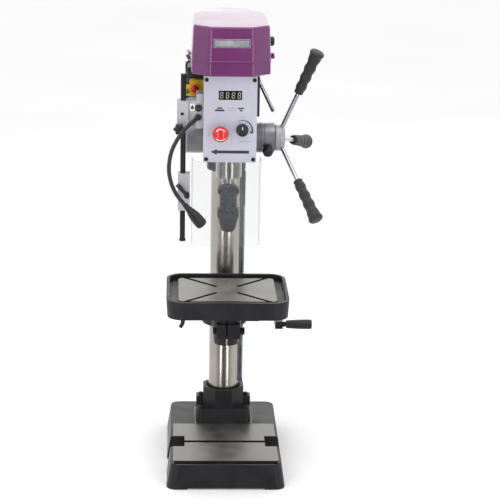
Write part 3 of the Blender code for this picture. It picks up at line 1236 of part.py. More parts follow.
def make_depth_ring():
    axis = (FEED_Y, FEED_Z)
    ring = turned(
        "depth_ring",
        [
            (RING_R, RING_START), (RING_R, RING_END), (RING_BOSS_R + RUNNING, RING_END),
            (RING_BOSS_R + RUNNING, RING_START),
        ],
        (0, *axis), "X", "aluminium",
    )
    way = Vector((0, -math.cos(math.radians(LOCK_LEAN)), -math.sin(math.radians(LOCK_LEAN))))
    middle = Vector(((RING_START + RING_END) / 2 + 5, *axis))
    cut(ring, rod("lock_screw_hole", middle, middle + way * 60, 3 + RUNNING, sides=12))
    set_pivot(ring, (RING_START, *axis))
    knob = turned(
        "depth_lock_knob",
        [(0, 22), (9, 21.2), (11.8, 18), (12, 8), (10, 5.5), (6, 1), (3, 1), (3, -12), (0, -12)],
        middle + way * RING_R, way, "black_plastic", SMALL_ROUND,
    )
    set_pivot(knob, middle + way * RING_R)
    cup = turned(
        "spring_cup",
        [
            (0, -CUP_END), (CUP_R - 2, -CUP_END), (CUP_R, -CUP_END + 2), (CUP_R, -CUP_START),
            (CUP_R - CUP_WALL, -CUP_START), (
                CUP_R - CUP_WALL, -CUP_END + CUP_WALL
            ), (0, -CUP_END + CUP_WALL),
        ],
        (0, *axis), "X", "aluminium",
    )
    set_pivot(cup, (-CUP_START, *axis))
    turns, per_turn, thick = 3, 12, 1.0
    inner_r, outer_r = FEED_SHAFT_R + 1.6, CUP_R - CUP_WALL - 1.6
    outer, inner = [], []
    for i in range(turns * per_turn + 1):
        share = i / (turns * per_turn)
        angle, radius = math.tau * i / per_turn, inner_r + (outer_r - inner_r) * share
        outer.append((FEED_Y + radius * math.cos(angle), FEED_Z + radius * math.sin(angle)))
        radius -= thick
        inner.append((FEED_Y + radius * math.cos(angle), FEED_Z + radius * math.sin(angle)))
    spring = outer + inner[::-1]
    prism("return_spring", spring, -CUP_END + CUP_WALL + 6, -CUP_START - 9, axis="X", look="bright_steel")


# ---- Guard, lamp and cable ----


def make_guard():
    hole, front = POST_R + RUNNING, POST_Y - 17
    bracket = block(
        "guard_bracket", (POST_X - 14, BOX_LEFT - GAP), (front, POST_Y + 19), (
            BOX_BOTTOM - 7, BOX_TOP - 16
        ), "head_grey"
    )
    knob_x, knob_z = POST_X - 9, BOX_BOTTOM + 2
    cut(
        bracket,
        rod("post_way", (POST_X, POST_Y, 0), (POST_X, POST_Y, LONG * 3), hole, sides=16),
        rod("star_hole", (knob_x, -LONG, knob_z), (knob_x, POST_Y - 3, knob_z), 2.5 + RUNNING, sides=12),
        block("bracket_relief", (POST_X + 5, 0), (-LONG * 2, LONG), (0, BOX_BOTTOM + 15)),
    )
    star = []
    lobes = 6
    for i in range(lobes * 4):
        bump = math.cos(math.tau * i / 4)
        angle = math.tau * i / (lobes * 4)
        radius = 11.6 + 1.7 * bump
        star.append((knob_x + radius * math.cos(angle), knob_z + radius * math.sin(angle)))
    knob = prism("post_knob", star, front - 20, front - 6, axis="Y", look="black_plastic")
    fuse(knob, rod("star_stem", (knob_x, front - 8, knob_z), (knob_x, front - GAP, knob_z), 6, sides=12))
    fuse(knob, rod("star_screw", (knob_x, front - 3, knob_z), (knob_x, front + 11, knob_z), 2.5, sides=12))
    set_pivot(knob, (knob_x, front, knob_z))
    post = rod(
        "guard_post", (POST_X, POST_Y, POST_BOTTOM + 4), (POST_X, POST_Y, POST_TOP), POST_R, "black_steel"
    )
    fuse(
        post,
        rod("post_foot", (POST_X, POST_Y, POST_BOTTOM), (POST_X, POST_Y, POST_BOTTOM + 5), POST_R + 1.6),
    )
    set_pivot(post, (POST_X, POST_Y, POST_BOTTOM))
    front, back = POST_Y - 15, POST_Y + 15
    slider = block(
        "guard_slider", (POST_X - 11, POST_X + 16), (front, back), (SLIDER_BOTTOM, SLIDER_TOP), "head_grey"
    )
    lever_x, lever_z = POST_X + 9.6, SLIDER_BOTTOM + 37
    cut(slider, rod("slider_way", (POST_X, POST_Y, 0), (POST_X, POST_Y, LONG * 3), hole, sides=16))
    cut(
        slider,
        rod(
            "lever_hole", (lever_x, -LONG, lever_z), (lever_x, front + 10, lever_z), 2.5 + RUNNING, sides=12
        ),
    )
    set_pivot(slider, (POST_X, POST_Y, SLIDER_BOTTOM))
    lever = rod(
        "guard_clamp_lever",
        (lever_x, front - 14, lever_z),
        (lever_x, front - GAP, lever_z),
        6.5,
        "black_plastic",
    )
    fuse(
        lever,
        rod(
            "clamp_arm",
            (lever_x, front - 9, lever_z),
            (POST_X - 12, front - 15, lever_z + 26),
            4.2,
            end_radius=5.2,
        ),
    )
    fuse(
        lever,
        rod("clamp_screw", (lever_x, front - 5, lever_z), (lever_x, front + 8, lever_z), 2.5, sides=12),
    )
    set_pivot(lever, (lever_x, front, lever_z))
    edge_x, fold_y, front_y = POST_X + 16 + GAP + GUARD_THICK, front - 4, POST_Y - 37
    path = [
        (edge_x, back - 3), (edge_x, front + 3), (edge_x + 5.7, fold_y), (-HEAD_HALF - 0.5, front_y),
        (HEAD_HALF - 7.5, front_y), (HEAD_HALF + 15, fold_y), (HEAD_HALF + 15, POST_Y + 29),
    ]
    outline = thick_path(path, GUARD_THICK)
    screen = prism("guard_screen", outline, GUARD_BOTTOM, GUARD_TOP, look="clear_plastic")
    set_pivot(screen, (POST_X, POST_Y, GUARD_BOTTOM))


def thick_path(path, thickness):
    """A strip drawn round an open path, lying to the left of its direction."""
    points = [Vector(p) for p in path]
    normals = []
    for i in range(len(points)):
        ways = []
        if i > 0:
            ways.append((points[i] - points[i - 1]).normalized())
        if i < len(points) - 1:
            ways.append((points[i + 1] - points[i]).normalized())
        sides = [Vector((-w.y, w.x)) for w in ways]
        total = sum(sides, Vector((0, 0))).normalized()
        normals.append(total / max(total.dot(sides[0]), 0.3))
    near = [tuple(p) for p in points]
    far = [tuple(p + n * thickness) for p, n in zip(points, normals)]
    return near + far[::-1]


def smooth_route(points, per_span):
    """Points along a Catmull-Rom curve through the given ones."""
    points = [Vector(p) for p in points]
    ends = [points[0] * 2 - points[1]] + points + [points[-1] * 2 - points[-2]]
    route = []
    for i in range(1, len(ends) - 2):
        p0, p1, p2, p3 = ends[i - 1 : i + 3]
        for j in range(per_span):
            t = j / per_span
            route.append(
                0.5 * (2 * p1 + (p2 - p0) * t + (2 * p0 - 5 * p1 + 4 * p2 - p3) * t**2
                       + (3 * p1 - p0 - 3 * p2 + p3) * t**3)
            )
    return route + [points[-1]]


def tube(name, route, radius, look):
    """A curve with a round bevel and filled caps."""
    curve = bpy.data.curves.new(name, "CURVE")
    curve.dimensions = "3D"
    curve.bevel_depth = radius * MM
    curve.bevel_resolution = 1
    curve.use_fill_caps = True
    spline = curve.splines.new("POLY")
    spline.points.add(len(route) - 1)
    for point, place in zip(spline.points, route):
        point.co = (*(place * MM), 1)
    made = bpy.data.objects.new(name, curve)
    bpy.context.scene.collection.objects.link(made)
    curve.materials.append(material(look))
    return made


LAMP_START = Vector((-HEAD_HALF - 13.9, BOX_FRONT - 3, BOX_TOP - 52.5))
LAMP_ROUTE = [  # offsets from the start
    (0, 0, 0),
    (-9.7, -12, -5.6),
    (-21.1, -24, -13.9),
    (-41.2, -47, -32.7),
    (-58.5, -72, -62.8),
    (-64.6, -90, -97.5),
    (-58.0, -100, -128.5),
    (-45.5, -105, -153.0),
    (-30.1, -107, -171.5),
]
LAMP_AIM = (0.60, 0.24, -0.76)
CABLE_START = Vector((-COVER_HALF, DRIVE_FRONT, TRAY_BOTTOM))
CABLE_ROUTE = [  # offsets from the tray's lower edge, level with the drive box's front
    (-1.5, -64.0, 13.0),
    (-6.5, -64.5, 12.5),
    (-10.5, -64.0, 6.0),
    (-10.2, -58.0, -3.0),
    (-5.0, -43.0, -12.0),
    (2.0, -24.0, -17.5),
    (7.0, -8.0, -18.5),
    (8.0, -0.9, -18.5),
]


def make_lamp():
    start = LAMP_START
    route = [start + Vector(offset) for offset in LAMP_ROUTE]
    gland = rod("lamp_socket", (start.x, BOX_FRONT - GAP, start.z), (start.x, BOX_FRONT - 7, start.z), 7.5)
    neck_tube = tube("lamp_neck", smooth_route(route, 3), LAMP_NECK_R, "black_plastic")
    bpy.context.view_layer.update()
    mesh = bpy.data.meshes.new_from_object(neck_tube.evaluated_get(bpy.context.evaluated_depsgraph_get()))
    bpy.data.objects.remove(neck_tube)
    bm = bmesh.new()
    bm.from_mesh(mesh)
    bmesh.ops.scale(bm, vec=Vector((1 / MM, 1 / MM, 1 / MM)), verts=bm.verts)
    neck = new_object("lamp_neck", bm, "black_plastic")
    fuse(neck, gland)
    set_pivot(neck, (start.x, BOX_FRONT, start.z))
    aim = Vector(LAMP_AIM).normalized()
    end = route[-1]
    head = turned(
        "lamp_head",
        [
            (0, LAMP_LENGTH), (LAMP_END_R - 2.5, LAMP_LENGTH), (LAMP_END_R - 0.8, LAMP_LENGTH - 1),
            (LAMP_END_R, LAMP_LENGTH - 5), (
                LAMP_END_R - 0.5, LAMP_LENGTH - 22
            ), (LAMP_END_R - 3.5, LAMP_LENGTH - 40),
            (LAMP_NECK_R + 2.2, 12), (LAMP_NECK_R + 1, 0), (0, 0),
        ],
        end + aim * 2, aim, "black_plastic", SMALL_ROUND,
    )
    set_pivot(head, end)
    cable = [CABLE_START + Vector(offset) for offset in CABLE_ROUTE]
    tube("switch_cable", smooth_route(cable, 2), CABLE_R, "black_plastic")


def gather(name, place, *nodes):
    """An empty on a moving body's axis that carries the body's nodes."""
    frame = bpy.data.objects.new(name, None)
    frame.empty_display_size = 0.03
    frame.location = Vector(place) * MM
    bpy.context.scene.collection.objects.link(frame)
    bpy.context.view_layer.update()
    for node in nodes:
        piece = bpy.data.objects[node]
        piece.parent = frame
        piece.matrix_parent_inverse = frame.matrix_world.inverted()
    return frame


def main():
    make_base()
    make_flange()
    make_column()
    make_rack()
    make_arm()
    make_lift()
    make_table()
    make_clamps()
    make_head()
    make_panel()
    make_side_box()
    make_drive_box()
    make_cover()
    make_drive()
    make_quill()
    make_chuck()
    make_feed()
    make_depth_ring()
    make_guard()
    make_lamp()
    spokes = [f"feed_{kind}_{i}" for kind in ("rod", "grip") for i in (1, 2, 3)]
    gather("feed_frame", (0, FEED_Y, FEED_Z), "feed_shaft", "feed_hub", *spokes)
    gather("quill_frame", (0, SPINDLE_Y, QUILL_BOTTOM), "quill", "spindle", "chuck_body", "chuck_sleeve")
    gather(
        "guard_frame", (POST_X, POST_Y, SLIDER_BOTTOM), "guard_slider", "guard_screen", "guard_clamp_lever"
    )
    gather("lamp_frame", (LAMP_START.x, BOX_FRONT, LAMP_START.z), "lamp_neck", "lamp_head")
    gather("motor_frame", (0, MOTOR_Y, MOTOR_BOTTOM), "motor_mount", "motor_body", "motor_pulley")
    gather("crank_frame", (CRANK_X, WORM_SHAFT_Y, CRANK_Z), "worm_shaft", "crank_arm", "crank_grip")


main()
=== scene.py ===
"""The finished surfaces of a bench drill press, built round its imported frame.

Shapes are worked out in millimetres as whole numpy arrays and are turned into metres as each mesh is made.
Places come from the frame's own boxes and record, so a changed part carries its finish with it.
"""

import json
import math

import bmesh
import bpy
import numpy as np
from mathutils import Matrix, Vector


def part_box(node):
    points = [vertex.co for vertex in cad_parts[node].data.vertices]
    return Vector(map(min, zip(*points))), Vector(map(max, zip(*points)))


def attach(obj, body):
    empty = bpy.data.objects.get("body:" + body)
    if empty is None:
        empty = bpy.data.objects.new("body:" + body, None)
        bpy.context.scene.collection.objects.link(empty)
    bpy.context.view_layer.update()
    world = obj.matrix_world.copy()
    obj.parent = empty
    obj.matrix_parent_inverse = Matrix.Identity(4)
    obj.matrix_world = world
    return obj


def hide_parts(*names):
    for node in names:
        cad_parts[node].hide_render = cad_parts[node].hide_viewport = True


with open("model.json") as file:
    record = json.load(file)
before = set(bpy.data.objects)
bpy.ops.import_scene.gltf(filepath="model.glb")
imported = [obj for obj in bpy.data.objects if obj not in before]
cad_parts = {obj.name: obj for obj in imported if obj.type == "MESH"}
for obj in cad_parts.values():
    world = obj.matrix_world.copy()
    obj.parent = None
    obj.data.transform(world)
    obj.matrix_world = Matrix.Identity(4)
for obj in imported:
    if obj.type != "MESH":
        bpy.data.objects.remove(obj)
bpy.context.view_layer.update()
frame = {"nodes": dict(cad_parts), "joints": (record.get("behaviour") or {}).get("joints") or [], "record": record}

MM = 0.001
FINE, PLAIN = 96, 48  # sides of a large round piece, and of a small one
SKIN = 0.15  # how far printing stands proud of what it is printed on
BROKEN = 0.8  # the usual broken edge of a machined or moulded piece
CAST = 1.8  # the round edge of a casting
FUSED = 0.002  # corners nearer than this are one corner
FLAT = 0.6  # degrees: faces nearer to one plane than this become one face

SEAM = next(j["pos_m"][2] for j in frame["joints"] if j["name"] == "lid_open") / MM  # where lid meets tray
HINGE_REACH = 11.8  # how far the hinge stands out from the cover's side
HINGE_IN = 4.2  # from the hinge's outermost point to its pin
COVER_FRONT_HALF, COVER_CHAMFER = 49.0, 36.0  # half of the cover's flat front, and its chamfers' depth
COVER_WALL = 2.5
OUT = (0, -1, 0)  # out of the panel, towards the person at the machine


# ---- Numbers and shapes ----


def linear(colour):
    """An sRGB hex colour as the linear colour a shader takes, by the two-part sRGB curve."""
    level = np.array([int(colour[i : i + 2], 16) for i in (0, 2, 4)]) / 255
    bright = ((level + 0.055) / 1.055) ** 2.4
    return (*np.where(level <= 0.04045, level / 12.92, bright).tolist(), 1.0)


def box(node):
    """Lowest and highest corner of a node, in millimetres."""
    low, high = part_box(node)
    return np.array(low) / MM, np.array(high) / MM


def middle(node):
    """The centre of a node's box, in millimetres."""
    low, high = box(node)
    return (low + high) / 2


def unit(way):
    """A direction divided by its own length."""
    way = np.array(way, float)
    return way / np.linalg.norm(way)


def skin(loops, wrap=False, caps=True):
    """Quads between equal closed loops of points, each to the next; flat caps close the first and last."""
    loops = np.asarray(loops, float)
    count, size = loops.shape[:2]
    index = np.arange(count * size).reshape(count, size)
    near = index if wrap else index[:-1]
    far = np.roll(index, -1, 0) if wrap else index[1:]
    quads = np.stack([near, np.roll(near, -1, 1), np.roll(far, -1, 1), far], -1).reshape(-1, 4)
    faces = quads.tolist()
    if caps and not wrap:
        faces += [index[0][::-1].tolist(), index[-1].tolist()]
    return loops.reshape(-1, 3), faces


def turned(profile, origin, axis, sides=PLAIN, swell=None):
    """A profile of (radius, height) spun about an axis.

    A point stands at origin + axis * height + (side * cos a + up * sin a) * radius.
    swell(a, height) multiplies the radius, which makes lobes, knurls and flutes. A profile that starts and
    ends on the axis has poles; one that misses the axis is carried round to its own start.
    """
    profile, axis = np.array(profile, float), unit(axis)
    side = unit(np.cross(axis, (0, 0, 1) if abs(axis[2]) < 0.9 else (1, 0, 0)))
    up = np.cross(axis, side)
    turn = np.linspace(0, 2 * math.pi, sides, endpoint=False)[None]
    radius, height = profile[:, :1] + 0 * turn, profile[:, 1:] + 0 * turn
    if swell is not None:
        radius = radius * swell(turn, height)
    across = side * np.cos(turn)[..., None] + up * np.sin(turn)[..., None]
    loops = np.array(origin) + axis * height[..., None] + across * radius[..., None]
    ring = min(profile[0, 0], profile[-1, 0]) > 0
    return skin(loops, wrap=ring, caps=False)


def lobed(count, depth, low=-math.inf, high=math.inf, start=0.0):
    """A swell for turned: between two heights, the radius times 1 - depth * (1 - cos(count * a + start))."""

    def swell(a, height):
        """The share of the radius at an angle and a height."""
        return 1 - depth * (1 - np.cos(count * a + start)) * (height > low) * (height < high)

    return swell


def swept(path, radius, sides=24):
    """A round skin along a path: each point carries a circle square to the path, of that point's radius."""
    path = np.asarray(path, float)
    along = np.gradient(path, axis=0)
    along /= np.linalg.norm(along, axis=1, keepdims=True)
    side = np.cross(along, unit((0.9, -0.35, 0.25)))
    side /= np.linalg.norm(side, axis=1, keepdims=True)
    up = np.cross(along, side)
    turn = np.linspace(0, 2 * math.pi, sides, endpoint=False)[None, :, None]
    reach = np.broadcast_to(radius, len(path))[:, None, None]
    return skin(path[:, None] + (side[:, None] * np.cos(turn) + up[:, None] * np.sin(turn)) * reach)


def curve_through(points, steps):
    """A Catmull-Rom curve: cubics between the points, with half the neighbours' gap as the slope at each."""
    points = np.array(points, float)
    ends = np.vstack([2 * points[0] - points[1], points, 2 * points[-1] - points[-2]])
    a, b, c, d = (ends[i : len(ends) - 3 + i, None] for i in range(4))
    t = np.linspace(0, 1, steps, endpoint=False)[None, :, None]
    spans = 0.5 * (
        2 * b + (c - a) * t + (2 * a - 5 * b + 4 * c - d) * t**2 + (3 * b - a - 3 * c + d) * t**3
    )
    return np.vstack([spans.reshape(-1, points.shape[1]), points[-1]])


def drawn(outline, low, high, axis="y"):
    """A flat outline carried along an axis. x takes (y, z), y takes (x, z) and z takes (x, y)."""
    outline = np.array(outline, float)
    order = {"x": (2, 0, 1), "y": (0, 2, 1), "z": (0, 1, 2)}[axis]
    loops = [np.column_stack([outline, np.full(len(outline), level)])[:, order] for level in (low, high)]
    return skin(loops)


def slab(low, high):
    """A box between two corners."""
    (x0, y0, z0), (x1, y1, z1) = low, high
    return drawn([(x0, y0), (x1, y0), (x1, y1), (x0, y1)], z0, z1, "z")


def round_corners(outline, radius, steps=6):
    """Each corner becomes a quadratic curve that starts and ends a set distance away.

    The distance is at most a third of the side.
    """
    outline = np.array(outline, float)
    before, after = np.roll(outline, 1, 0) - outline, np.roll(outline, -1, 0) - outline
    reach = [np.minimum(radius, np.linalg.norm(w, axis=1) / 3)[:, None] for w in (before, after)]
    start = outline + before / np.linalg.norm(before, axis=1, keepdims=True) * reach[0]
    end = outline + after / np.linalg.norm(after, axis=1, keepdims=True) * reach[1]
    t = np.linspace(0, 1, steps)[None, :, None]
    rounded = start[:, None] * (1 - t) ** 2 + 2 * outline[:, None] * t * (1 - t) + end[:, None] * t**2
    return rounded.reshape(-1, 2)


def together(parts):
    """Several closed shapes as one mesh's points and faces."""
    points, faces, start = [], [], 0
    for some_points, some_faces in parts:
        points.append(some_points)
        faces += [[corner + start for corner in face] for face in some_faces]
        start += len(some_points)
    return np.vstack(points), faces


def put(name, shape, look, body, stands_for=(), edge=0.0, sharp=32, steps=2):
    """Makes the piece: doubles merged, faces turned outwards, edges broken, smooth below an angle."""
    points, faces = shape
    mesh = bpy.data.meshes.new(name)
    mesh.from_pydata((points * MM).tolist(), [], faces)
    work = bmesh.new()
    work.from_mesh(mesh)
    bmesh.ops.remove_doubles(work, verts=work.verts, dist=2 * FUSED * MM)
    bmesh.ops.recalc_face_normals(work, faces=work.faces)
    work.to_mesh(mesh)
    work.free()
    return place(name, mesh, look, body, stands_for, edge, sharp, steps)


def place(name, mesh, look, body, stands_for, edge, sharp, steps):
    """Puts a mesh on its body, with its finishes, its broken edges and the nodes that it stands for."""
    mesh.polygons.foreach_set("use_smooth", np.ones(len(mesh.polygons), bool))
    piece = bpy.data.objects.new(name, mesh)
    bpy.context.scene.collection.objects.link(piece)
    for coat in look if isinstance(look, tuple) else (look,):
        mesh.materials.append(coat)
    if edge:
        bevel = piece.modifiers.new("broken edges", "BEVEL")
        bevel.width, bevel.segments = edge * MM, steps
        bevel.limit_method, bevel.angle_limit = "ANGLE", math.radians(sharp)
        bevel.use_clamp_overlap = True
        bevel.miter_outer = "MITER_ARC"
        piece.modifiers.new("flat faces stay flat", "WEIGHTED_NORMAL")
    else:
        mesh.set_sharp_from_angle(angle=math.radians(sharp))
    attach(piece, body)
    if stands_for:
        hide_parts(*stands_for)
    return piece


def body_of(node):
    """The moving body that a node belongs to."""
    return next(name for name, nodes in frame["record"]["behaviour"]["bodies"].items() if node in nodes)


def refined(node, look, edge=BROKEN, second=None, sharp=32, steps=2, heavy=None):
    """The node's own shape with flat faces joined and every edge broken.

    second is a test of (face centre, face normal) arrays in millimetres: faces that pass take the look's
    second finish. heavy is a test of edge middles: those that pass are rounded in full, and the rest an
    eighth as much.
    """
    work = bmesh.new()
    work.from_mesh(frame["nodes"][node].data)
    bmesh.ops.remove_doubles(work, verts=work.verts, dist=FUSED * MM)
    bmesh.ops.dissolve_limit(work, angle_limit=math.radians(FLAT), verts=work.verts, edges=work.edges)
    mesh = bpy.data.meshes.new(node + "_finished")
    work.to_mesh(mesh)
    turned_by = np.array([line.calc_face_angle(0) for line in work.edges])
    work.free()
    if heavy:
        ends = np.empty(len(mesh.edges) * 2, np.int32)
        corners = np.empty(len(mesh.vertices) * 3)
        mesh.edges.foreach_get("vertices", ends)
        mesh.vertices.foreach_get("co", corners)
        halfway = corners.reshape(-1, 3)[ends.reshape(-1, 2)].mean(1) / MM
        weight = np.where(heavy(halfway), 1.0, 0.125) * (turned_by > math.radians(sharp))
        marks = mesh.attributes.new("bevel_weight_edge", "FLOAT", "EDGE")
        marks.data.foreach_set("value", weight.astype(np.float32))
    if second:
        centre, normal = np.empty(len(mesh.polygons) * 3), np.empty(len(mesh.polygons) * 3)
        mesh.polygons.foreach_get("center", centre)
        mesh.polygons.foreach_get("normal", normal)
        chosen = second(centre.reshape(-1, 3) / MM, normal.reshape(-1, 3))
        mesh.polygons.foreach_set("material_index", chosen.astype(np.int32))
    piece = place(node + "_finished", mesh, look, body_of(node), (node,), edge, sharp, steps)
    if heavy:
        piece.modifiers[0].limit_method = "WEIGHT"
        piece.modifiers[0].use_clamp_overlap = False
    return piece


def sawn_below(node, height, name, look, edge):
    """The node's own shape, sawn square across at a height and closed there, with its edges broken."""
    work = bmesh.new()
    work.from_mesh(frame["nodes"][node].data)
    bmesh.ops.remove_doubles(work, verts=work.verts, dist=FUSED * MM)
    everything = [*work.verts, *work.edges, *work.faces]
    bmesh.ops.bisect_plane(
        work, geom=everything, plane_co=(0, 0, height * MM), plane_no=(0, 0, 1), clear_outer=True
    )
    bmesh.ops.holes_fill(work, edges=[line for line in work.edges if line.is_boundary])
    bmesh.ops.dissolve_limit(work, angle_limit=math.radians(FLAT), verts=work.verts, edges=work.edges)
    bmesh.ops.recalc_face_normals(work, faces=work.faces)
    mesh = bpy.data.meshes.new(name)
    work.to_mesh(mesh)
    work.free()
    return place(name, mesh, look, body_of(node), (), edge, 32, 2)


# ---- Finishes ----


def add(tree, kind, inputs=None, **settings):
    """Adds one node with its settings, and sets or links its inputs by name or number."""
    node = tree.nodes.new(kind)
    for name, value in settings.items():
        setattr(node, name, value)
    for name, value in (inputs or {}).items():
        if isinstance(value, bpy.types.NodeSocket):
            tree.links.new(value, node.inputs[name])
        else:
            node.inputs[name].default_value = value
    return node


def finish(
    name, tones, rough, metallic=0.0, patch=60.0, grain=1.0, depth=0.02, pull=(1, 1, 1), speck=0.3, **shader
):
    """A surface of two near tones in soft patches, with a grain that stands up by a depth in millimetres.

    patch and grain are real sizes in millimetres. pull stretches the grain along an axis, as a wheel, a
    brush or a cutter leaves it: a pull of 0.02 makes it fifty times as long that way. rough is a pair, the
    smoothest and the dullest that the patches make it. speck is how much of the grain shows as colour.
    """
    made = bpy.data.materials.new(name)
    made.use_nodes = True
    tree = made.node_tree
    surface = tree.nodes["Principled BSDF"]
    where = add(tree, "ShaderNodeTexCoord").outputs["Object"]
    pulled = add(tree, "ShaderNodeMapping", {"Vector": where, "Scale": pull}).outputs[0]
    patches = add(tree, "ShaderNodeTexNoise", {"Vector": where, "Scale": 1 / (patch * MM), "Detail": 4.0})
    grains = add(tree, "ShaderNodeTexNoise", {"Vector": pulled, "Scale": 1 / (grain * MM), "Detail": 3.0})
    both = add(
        tree, "ShaderNodeMath", {0: grains.outputs[0], 1: speck, 2: patches.outputs[0]},
        operation="MULTIPLY_ADD",
    )
    spread = {"Value": both.outputs[0], "From Min": 0.35 + speck * 0.4, "From Max": 0.65 + speck * 0.6}
    share = add(tree, "ShaderNodeMapRange", spread).outputs[0]
    colour = add(
        tree,
        "ShaderNodeMix",
        {0: share, 6: linear(tones[0]), 7: linear(tones[1])},
        data_type="RGBA",
    )
    dull = add(tree, "ShaderNodeMapRange", {"Value": share, "To Min": rough[0], "To Max": rough[1]})
    bump = add(tree, "ShaderNodeBump", {"Height": grains.outputs[0], "Distance": depth * MM})
    tree.links.new(colour.outputs[2], surface.inputs["Base Color"])
    tree.links.new(dull.outputs[0], surface.inputs["Roughness"])
    tree.links.new(bump.outputs[0], surface.inputs["Normal"])
    surface.inputs["Metallic"].default_value = metallic
    for socket, value in shader.items():
        surface.inputs[socket.replace("_", " ")].default_value = value
    return made


ALONG_X, ALONG_Z = (0.03, 1, 1), (1, 1, 0.03)  # a grain about thirty times as long that way

# Sand-cast iron under brushed black enamel: a soft, slightly lumpy satin.
CAST_ENAMEL = finish(
    "cast_iron_black_enamel", ("141417", "1c1c20"), (0.42, 0.56), patch=45, grain=1.6, depth=0.10,
    Specular_IOR_Level=0.4,
)
# Milled grey iron: fine straight cutter marks, with warm and cool patches from cutting oil.
MILLED_IRON = finish(
    "milled_cast_iron", ("6f6d69", "8a8783"), (0.34, 0.50), 0.85, patch=50, grain=0.9, depth=0.012,
    pull=ALONG_X,
)
# Centreless-ground tube: bright and straight-grained, so that lamps show in it as long streaks.
GROUND_TUBE = finish(
    "ground_steel_tube", ("aca79e", "bdb8b0"), (0.20, 0.28), 1.0, patch=90, grain=0.8, depth=0.0008,
    pull=ALONG_Z,
)
# Ground and hardened steel of the quill: finer and whiter.
GROUND_STEEL = finish(
    "ground_hardened_steel", ("928f8b", "a6a4a0"), (0.18, 0.28), 1.0, patch=40, grain=0.6, depth=0.0008,
    pull=ALONG_Z,
)
# Bright zinc-plated steel rod: a soft grey mirror.
PLATED_STEEL = finish(
    "zinc_plated_steel", ("a9aaae", "c2c3c7"), (0.24, 0.32), 1.0, patch=60, grain=0.7, depth=0.001, speck=0.1
)
# Cut rack teeth: darker bluish steel with an oil film.
OILED_STEEL = finish(
    "oiled_cut_steel", ("6b7079", "868b95"), (0.30, 0.45), 0.9, patch=25, grain=0.8, depth=0.01,
)
# Turned die-cast aluminium: fine rings round the axis that runs along X.
TURNED_ALLOY = finish(
    "turned_die_cast_aluminium", ("85848a", "9a999e"), (0.30, 0.44), 0.9, patch=35, grain=0.7, depth=0.012,
    pull=(1, 0.12, 0.12),
)
# Tumbled die-cast aluminium of the hub and the spring cup: pale, with an even satin that holds no streak.
TUMBLED_ALLOY = finish(
    "tumbled_die_cast_aluminium", ("a3a2a8", "b4b3b9"), (0.40, 0.52), 0.55, patch=35, grain=0.9, depth=0.012
)
# Machined pulley alloy.
PULLEY_ALLOY = finish(
    "turned_pulley_aluminium", ("9c9ca0", "b4b4b8"), (0.25, 0.38), 1.0, patch=40, grain=0.7, depth=0.008
)
# Glossy stoved enamel on pressed sheet: smooth, with a faint orange peel.
PURPLE_ENAMEL = finish(
    "purple_stoved_enamel", ("5f2159", "672560"), (0.26, 0.34), patch=120, grain=3.5, depth=0.010, speck=0.05,
    Coat_Weight=0.35, Coat_Roughness=0.12,
)
# Fine-textured powder coat on the panel's sheet: matt, cool and even.
PANEL_COAT = finish(
    "cool_grey_powder_coat", ("b1b0bf", "b8b7c5"), (0.46, 0.56), patch=90, grain=0.9, depth=0.02
)
# Grey enamel on the brackets and boxes.
BOX_ENAMEL = finish("light_grey_enamel", ("a3a2a8", "adacb1"), (0.40, 0.50), patch=60, grain=1.4, depth=0.03)
# Glass-filled nylon, moulded and lightly sparked: dark with a dull sheen.
MOULDED_NYLON = finish(
    "moulded_black_nylon", ("141416", "1d1d20"), (0.38, 0.50), patch=20, grain=0.6, depth=0.02,
)
# Soft grip rubber, dusty black.
GRIP_RUBBER = finish(
    "moulded_grip_rubber", ("1c1c1e", "282829"), (0.55, 0.70), patch=18, grain=0.7, depth=0.05,
    Sheen_Weight=0.15,
)
# Black-oxide screws and posts: nearly black metal with an oil sheen.
BLACK_OXIDE = finish(
    "black_oxide_steel", ("1b1b1e", "29292d"), (0.32, 0.45), 0.6, patch=15, grain=0.6, depth=0.01,
)
# Blackened tool steel of the chuck: browner and duller.
CHUCK_STEEL = finish(
    "blackened_chuck_steel", ("262628", "333335"), (0.24, 0.34), 0.9, patch=20, grain=0.5, depth=0.006,
)
# Motor and drive housings: black paint on ribbed alloy.
MOTOR_PAINT = finish(
    "black_painted_alloy", ("1f1f22", "2a2a2d"), (0.40, 0.52), patch=40, grain=1.2, depth=0.04,
)
RED_GLOSS = finish(
    "red_gloss_abs", ("c8201c", "d42a24"), (0.22, 0.30), patch=30, grain=2.0, depth=0.006, Coat_Weight=0.3,
)
GREEN_GLOSS = finish("green_gloss_abs", ("1f7a3c", "268546"), (0.24, 0.32), patch=20, grain=2.0, depth=0.006)
YELLOW_ABS = finish("yellow_satin_abs", ("d9ab1e", "e2b529"), (0.34, 0.44), patch=30, grain=1.0, depth=0.01)
# Neoprene belt with a canvas back: dead black with a fine weave.
BELT_RUBBER = finish("neoprene_belt", ("161617", "222223"), (0.62, 0.78), patch=14, grain=0.8, depth=0.06)
# Printed marks and filled scales.
BLACK_PRINT = finish("black_pad_print", ("2b2b30", "34343a"), (0.45, 0.55), patch=20, grain=0.8, depth=0.003)
GREY_PRINT = finish("grey_pad_print", ("8a8995", "97969f"), (0.45, 0.55), patch=20, grain=0.8, depth=0.003)
WHITE_PRINT = finish("white_pad_print", ("e4e4e6", "eeeeef"), (0.40, 0.50), patch=20, grain=0.8, depth=0.003)
# Smoked display window, and unlit segments of milky resin behind it.
SMOKED_WINDOW = finish(
    "smoked_acrylic_window", ("08080a", "0d0d10"), (0.08, 0.14), patch=40, grain=4.0, depth=0.002,
)
SEGMENT_RESIN = finish(
    "milky_segment_resin", ("a19d8c", "b0ac9b"), (0.35, 0.45), patch=6, grain=1.0, depth=0.003,
)
